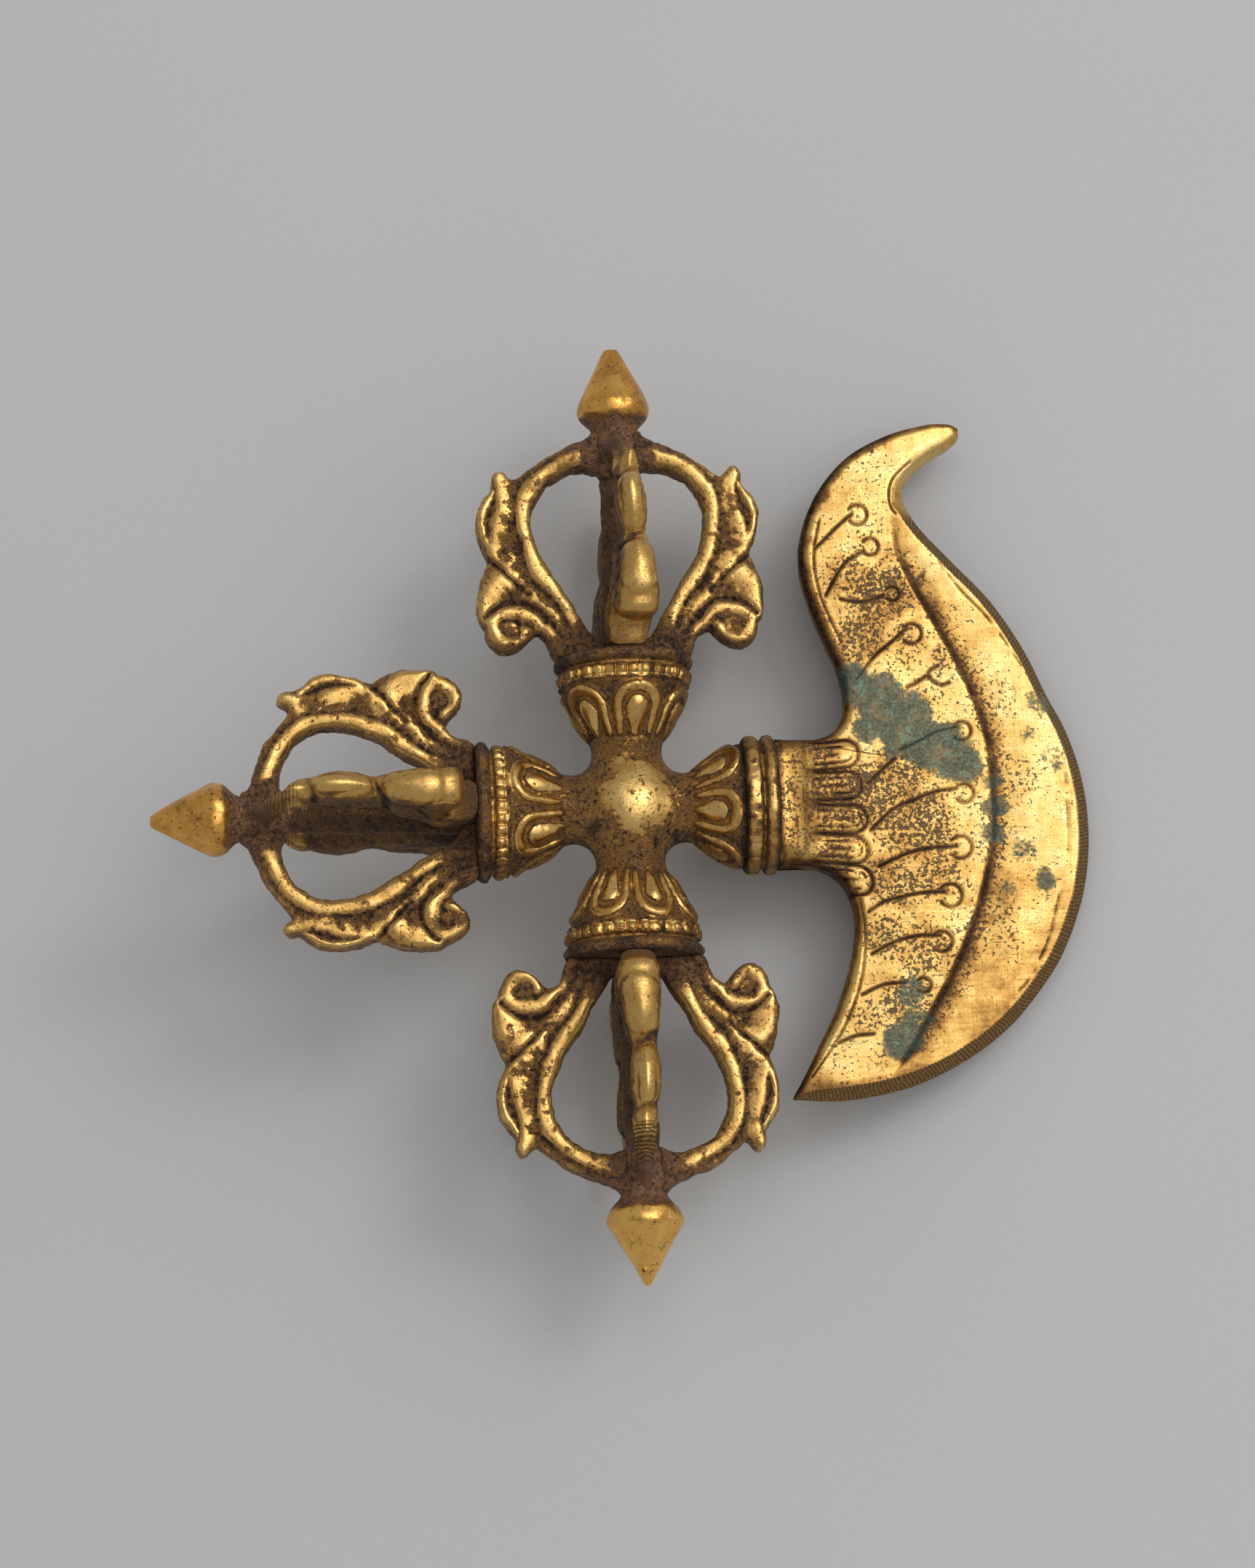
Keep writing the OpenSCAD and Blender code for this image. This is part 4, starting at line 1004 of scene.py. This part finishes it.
class Face:
    """A face of the blade: a grid of points from its spine to its edge, closer together at both."""

    def __init__(self, spine, edge, count):
        t = np.linspace(0, 1, count)[None, :]
        t = t - 0.1 * np.sin(2 * math.pi * (t - 0.5)) / (2 * math.pi)
        self.x = spine[:, :1] + (edge - spine)[:, :1] * t
        self.y = spine[:, 1:] + (edge - spine)[:, 1:] * t
        self.from_spine = near(self.x, self.y, spine)[0]
        self.from_edge = near(self.x, self.y, edge)[0]
        self.side_gap = np.maximum(NECK_HALF - np.abs(self.y), 0)
        self.at_neck = np.abs(self.y) < NECK_REACH
        self.flat = np.stack([self.x.ravel(), self.y.ravel(), 0 * self.x.ravel()], 1)

    def lumps(self, size, seed):
        return noise(self.flat, size, seed).reshape(self.x.shape)

    def root(self, low, high):
        """1 at the collar, down to 0 between low and high along the arm."""
        return fall(self.x, low, high) * (np.abs(self.y) < ROOT_HALF)

    def patches(self, rows, base, inner, uneven):
        """The strongest of several soft patches, or the base."""
        for cx, cy, size, strength in rows:
            d = np.hypot(self.x - cx, self.y - cy) / size
            base = np.maximum(base, strength * fall(d + 0.2 * uneven, inner, 1.3))
        return base


def engraving(f):
    """Depths from 0 to 1 of the engraved lines, and the tongues' rounded tops."""
    x, y = f.x, f.y
    line, tongue = np.zeros(x.shape), np.zeros(x.shape)

    def cut(depth):
        np.maximum(line, depth, out=line)

    def stroke(points, half):
        return peak(near(x, y, curve(points, 4))[0], half)

    for lines, half, depth in STROKES:
        for points in lines:
            cut(depth * stroke(points, half))
    for points in DASHED:
        cut(0.7 * stroke(points, 0.13) * smooth(f.lumps(1.3, 77) + 0.15, -0.2, 0.3))
    for cx, cy, r in CIRCLES:
        open_side = smooth(np.abs(np.arctan2(y - cy, cx - x)), 0.35, 0.7)
        cut(0.9 * peak(np.hypot(x - cx, y - cy) - r, 0.19) * open_side)
    for cy, end in TONGUES:
        half = TONGUE_HALF * (0.94 if abs(cy) < 8 else 1.0)
        reach = end - half
        across = y - cy - cy * 0.012 * (x - 28)
        d = np.where(x > reach, np.hypot(x - reach, across), np.abs(across)) - half
        cut(1.1 * peak(d - 0.12, 0.2) * smooth(x, TONGUE_FROM - 0.6, TONGUE_FROM + 1.6))
        inner = peak(d + 0.72, 0.17) * (x > TONGUE_FROM + 0.8) * (d < 0)
        cut(0.9 * (inner * smooth(f.lumps(0.9, 12), -0.5, 0.1)))
        slot = peak(across, 0.2) * smooth(x, TONGUE_FROM + 1, TONGUE_FROM + 2)
        slot = slot * fall(x, reach - 0.4, reach + 0.3)
        cut(0.75 * slot * smooth(f.lumps(1.1, 13), -0.4, 0.1))
        tongue = np.maximum(tongue, smooth(-d, 0, 0.9) * smooth(x, TONGUE_FROM - 1, TONGUE_FROM + 1))
    for cx, deep in ((22.9, 0.12), (24.4, 0.25)):
        cut(deep * peak(x - cx, 0.2) * (f.from_spine > 0.6) * (np.abs(y) < 9))
    return line, tongue


def fuller(f):
    """The groove: its depth, the distance to its line, what lies outside it, and how it fades at its ends."""
    d, _, side = near(f.x, f.y, curve(GROOVE, 6))
    outer = side > 0
    start = 0.3 + 0.7 * smooth(np.hypot(f.x - GROOVE[0][0], f.y - GROOVE[0][1]), 1, 9)
    fade = smooth(f.from_edge, 2.2, 4.2)
    deep = np.where(outer, 0.17 * peak(d, 3.0) + 0.17 * peak(d, 0.45), 0.34 * peak(d, 0.35)) * fade
    return deep * (1 + 0.25 * f.lumps(1.5, 41)) * start, d, outer, fade * start


def front_height(f, k, bevel_w, horn, line, tongue, groove):
    """Height of the front face over the middle plane; k is 1 where the blade has its full section."""
    body = HALF_T * (0.5 + 0.5 * k) + NECK_RISE * f.root(20.8, 27.2) + 0.25 * f.root(23.6, 26.2)
    round_r = 1.5 + 1.9 * f.root(21, 27)
    # the cross-section's round shoulder at the spine; the flat face at the collar has none
    shoulder = rounded(f.from_spine, round_r * k) * (1 - at_collar(f))
    neck_round = f.at_neck * rounded(f.side_gap, round_r) * fall(f.x, 24, 27)
    on_neck = np.minimum(np.maximum(shoulder * (np.abs(f.y) > 7.5), neck_round), round_r)
    shoulder = np.where((f.x < 24) & f.at_neck, on_neck, shoulder)
    top = body - groove * k - shoulder + 0.18 * tongue - 0.2 * line - 0.1 * fall(f.from_spine, 1, 5) * k
    top = top + 0.05 * f.lumps(4, 3) + 0.02 * f.lumps(1.2, 4)
    bevel = unit(f.from_edge / np.maximum(bevel_w, 1e-6))
    bevel = bevel + horn * (np.sqrt(np.maximum(0, 1 - (1 - bevel) ** 2)) - bevel)
    low_edge = EDGE_HALF_T * k
    return np.maximum(low_edge + (top - low_edge) * bevel, low_edge * 0.9)


def back_depth(b, k):
    """Depth of the plain back under the middle plane."""
    gap = np.where((b.x < 24) & b.at_neck, b.side_gap, b.from_spine)
    depth = HALF_T * (0.5 + 0.5 * k) + NECK_RISE * b.root(20.8, 27.2)
    depth = depth - rounded(gap, 1.1 * k + 1.8 * b.root(21, 27))
    low_edge = EDGE_HALF_T * k
    return low_edge + (depth - low_edge) * unit(b.from_edge / np.maximum(1.3 * k, 1e-6))


def at_collar(f):
    """The flat face that lies against the collar."""
    return (f.x < COLLAR_TO) * (np.abs(f.y) < COLLAR_HALF)


def blade_masks(f, bevel_w, line, groove_d, outer, fade):
    """What the blade's material reads, each with its value off the front."""
    x, y = f.x, f.y
    speck = f.patches(PITTED, np.where(outer, 0.24, 0.46), 0.4, f.lumps(3, 21))
    speck = np.maximum(speck, 0.95 * peak(groove_d, np.where(outer, 3.0, 1.2)) * fade)
    dirt = fall(f.from_spine + 0.9 * f.lumps(1.6, 63), 0.7, 2.3) * smooth(y, 10, 18) * fall(x, 37, 42)
    speck = np.maximum(speck, 0.8 * dirt)
    dark_root = fall(x + 0.8 * f.lumps(1.6, 61), 23.0, 27.4) * (np.abs(y) < ROOT_HALF)
    rim_dark = fall(f.from_spine, 0.25, 1.0) * (1 - at_collar(f))
    worn = 0.9 - 0.7 * line - 0.06 * dark_root - 0.4 * rim_dark
    worn = worn - 0.14 * np.exp(-((x - 33) ** 2 + (y - 28) ** 2) / 60) - 0.18 * smooth(-y, 6, 22) * outer
    worn = worn - np.where(outer, 0.13 * peak(groove_d, 2.2) + 0.36 * peak(groove_d, 0.42),
                           0.5 * peak(groove_d, 0.34)) * fade * (1 + 0.4 * f.lumps(1.8, 62))
    worn = worn - 0.21 * dirt
    worn = worn - 0.2 * smooth(speck, 0.3, 1.0) - 0.06 * fall(x, 26, 36) * (np.abs(y) < 14)
    worn = worn - 0.34 * fall(f.from_edge - bevel_w, 0.2, 1.2) * fall(x, 30, 42) * (y < -30)
    worn = worn - 0.14 * fall(f.from_edge, 2.0, 5.0) * smooth(f.lumps(4, 51), -0.2, 0.5)
    filed = fall(f.from_edge + 0.1 * f.lumps(1.0, 31), bevel_w - 0.12, bevel_w + 0.12) * fall(y, 39.5, 41.5)
    sweep = EDGE_R * np.arctan2(y - EDGE_MID[1], x - EDGE_MID[0]) + 0.45 * f.from_edge
    green = f.patches(GREEN, np.zeros(x.shape), 0.35, f.lumps(2.4, 22))
    return {"worn": (unit(worn), 0.34), "speck": (speck, 0.35), "green": (green, 0.0), "filed": (filed, 0.0),
            "along": (sweep, 0.0)}


def blade():
    ribs = curve(RIBS, 24)
    move = sum(np.linalg.norm(np.diff(ribs[:, k:k + 2], axis=0), axis=1) for k in (0, 2))
    length = np.concatenate([[0], np.cumsum(move)])
    at = np.linspace(0, length[-1], BLADE_ALONG)
    ribs = np.stack([np.interp(at, length, ribs[:, k]) for k in range(4)], 1)
    spine, edge = ribs[:, :2], ribs[:, 2:]
    k = (1 - (1 - unit(np.linalg.norm(edge - spine, axis=1) / 10)) ** 2)[:, None]
    f, b = Face(spine, edge, BLADE_ACROSS), Face(spine, edge, BLADE_BACK)
    line, tongue = engraving(f)
    groove, groove_d, outer, fade = fuller(f)
    horn = smooth(f.y, 40.5, 43.5)
    bevel_w = (1.6 + 1.1 * horn) * k
    front = np.stack([f.x, f.y, front_height(f, k, bevel_w, horn, line, tongue, groove)], 2)
    back = np.stack([b.x, b.y, -back_depth(b, k)], 2)[:, ::-1]
    wall = np.linspace(0, 1, WALL_STEPS + 1)[None, 1:-1, None]
    rings = np.concatenate([front, back, front[:, :1] * wall + back[:, -1:] * (1 - wall)], 1)
    skin = Skin(*loft(rings))

    def whole(values, rest):
        """A mask of the front spread over the whole skin."""
        out = np.full(rings.shape[:2], rest)
        out[:, :BLADE_ACROSS] = values
        return np.append(out.ravel(), [rest, rest])

    skin.push(whole(0.0, 1.0) * (0.06 * noise(skin.p, 3, 8) + 0.04 * noise(skin.p, 0.9, 9)))
    masks = blade_masks(f, bevel_w, line, groove_d, outer, fade)
    skin.mask = {key: whole(values, rest) for key, (values, rest) in masks.items()}
    build("blade", skin, skin.p, "blade_brass")


# Camera, floor and lights
IMAGE_H = 2156
VIEW_AWAY = 0.8                   # camera's distance, m
VIEW_PIXELS = 7954.9              # focal length in the photograph's pixels
VIEW_LEAN = (-3.88, -11.39)       # degrees, the camera's lean towards X and Y of the upright frame
VIEW_ROLL = -2.25
VIEW_CLIP = 0.01, 10              # m
SENSOR_WIDTH = 36                 # mm
VIEW_AIM = (-0.04, 3.51, 0.0)
LIGHT_AWAY = 1.7                  # m
FLOOR_HALF = 1.6


def camera():
    a, b = (math.sin(math.radians(v)) for v in VIEW_LEAN)
    away = Vector((a, b, math.sqrt(1 - a * a - b * b)))
    roll = math.radians(VIEW_ROLL)
    right = Vector((-math.sin(roll), math.cos(roll), 0)).cross(away).normalized()
    data = bpy.data.cameras.new("camera")
    data.sensor_width = SENSOR_WIDTH
    data.lens = VIEW_PIXELS / IMAGE_H * data.sensor_width
    data.clip_start, data.clip_end = VIEW_CLIP
    eye = bpy.data.objects.new("camera", data)
    bpy.context.scene.collection.objects.link(eye)
    x, y, z = (Vector(laid(v)) for v in (right, away.cross(right), away))
    eye.matrix_world = Matrix((x, y, z)).transposed().to_4x4()
    eye.location = Vector(place(VIEW_AIM)) + z * VIEW_AWAY
    bpy.context.scene.camera = eye


def area_light(name, direction, size, power):
    data = bpy.data.lights.new(name, "AREA")
    data.shape = "RECTANGLE"
    data.size, data.size_y = size, size
    data.energy = power
    lamp = bpy.data.objects.new(name, data)
    way = Vector(direction).normalized()
    lamp.location = way * LIGHT_AWAY
    lamp.rotation_mode = "QUATERNION"
    lamp.rotation_quaternion = way.to_track_quat("Z", "Y")
    bpy.context.scene.collection.objects.link(lamp)


def studio():
    n = Nodes("floor_paper")
    tone = n.add(n.scaled(n.noise(40, 2), 0.01, 0.598), n.scaled(n.noise(1.1, 3, 0.6), 0.016, -0.008))
    paper = n.ramp(tone, [(0.0, 0.0, 0.0, 0.0), (1.0, 1.0, 0.995, 0.99)])
    mesh = bpy.data.meshes.new("floor")
    s = FLOOR_HALF
    mesh.from_pydata([(-s, -s, 0), (s, -s, 0), (s, s, 0), (-s, s, 0)], [], [(0, 1, 2, 3)])
    mesh.materials.append(n.finish(paper, 0.85, n.bump(n.noise(0.7, 3), 0.3, 0.05), 0.0))
    floor = bpy.data.objects.new("floor", mesh)
    bpy.context.scene.collection.objects.link(floor)
    area_light("key", (0.6, 0.2, 0.78), size=2.0, power=13.8)
    area_light("spark", (0.62, 0.3, 0.73), size=0.45, power=3.7)
    world = bpy.data.worlds.new("studio")
    world.use_nodes = True
    world.node_tree.nodes["Background"].inputs["Color"].default_value = (0.4, 0.398, 0.395, 1)
    bpy.context.scene.world = world
    bpy.context.scene.view_settings.view_transform = "Standard"


camera()
studio()
hub()
for arm_name in ("upper", "pommel", "lower"):
    cup(arm_name)
    post(arm_name)
    tip(arm_name)
    prongs(arm_name)
blade_cup()
collar()
blade()
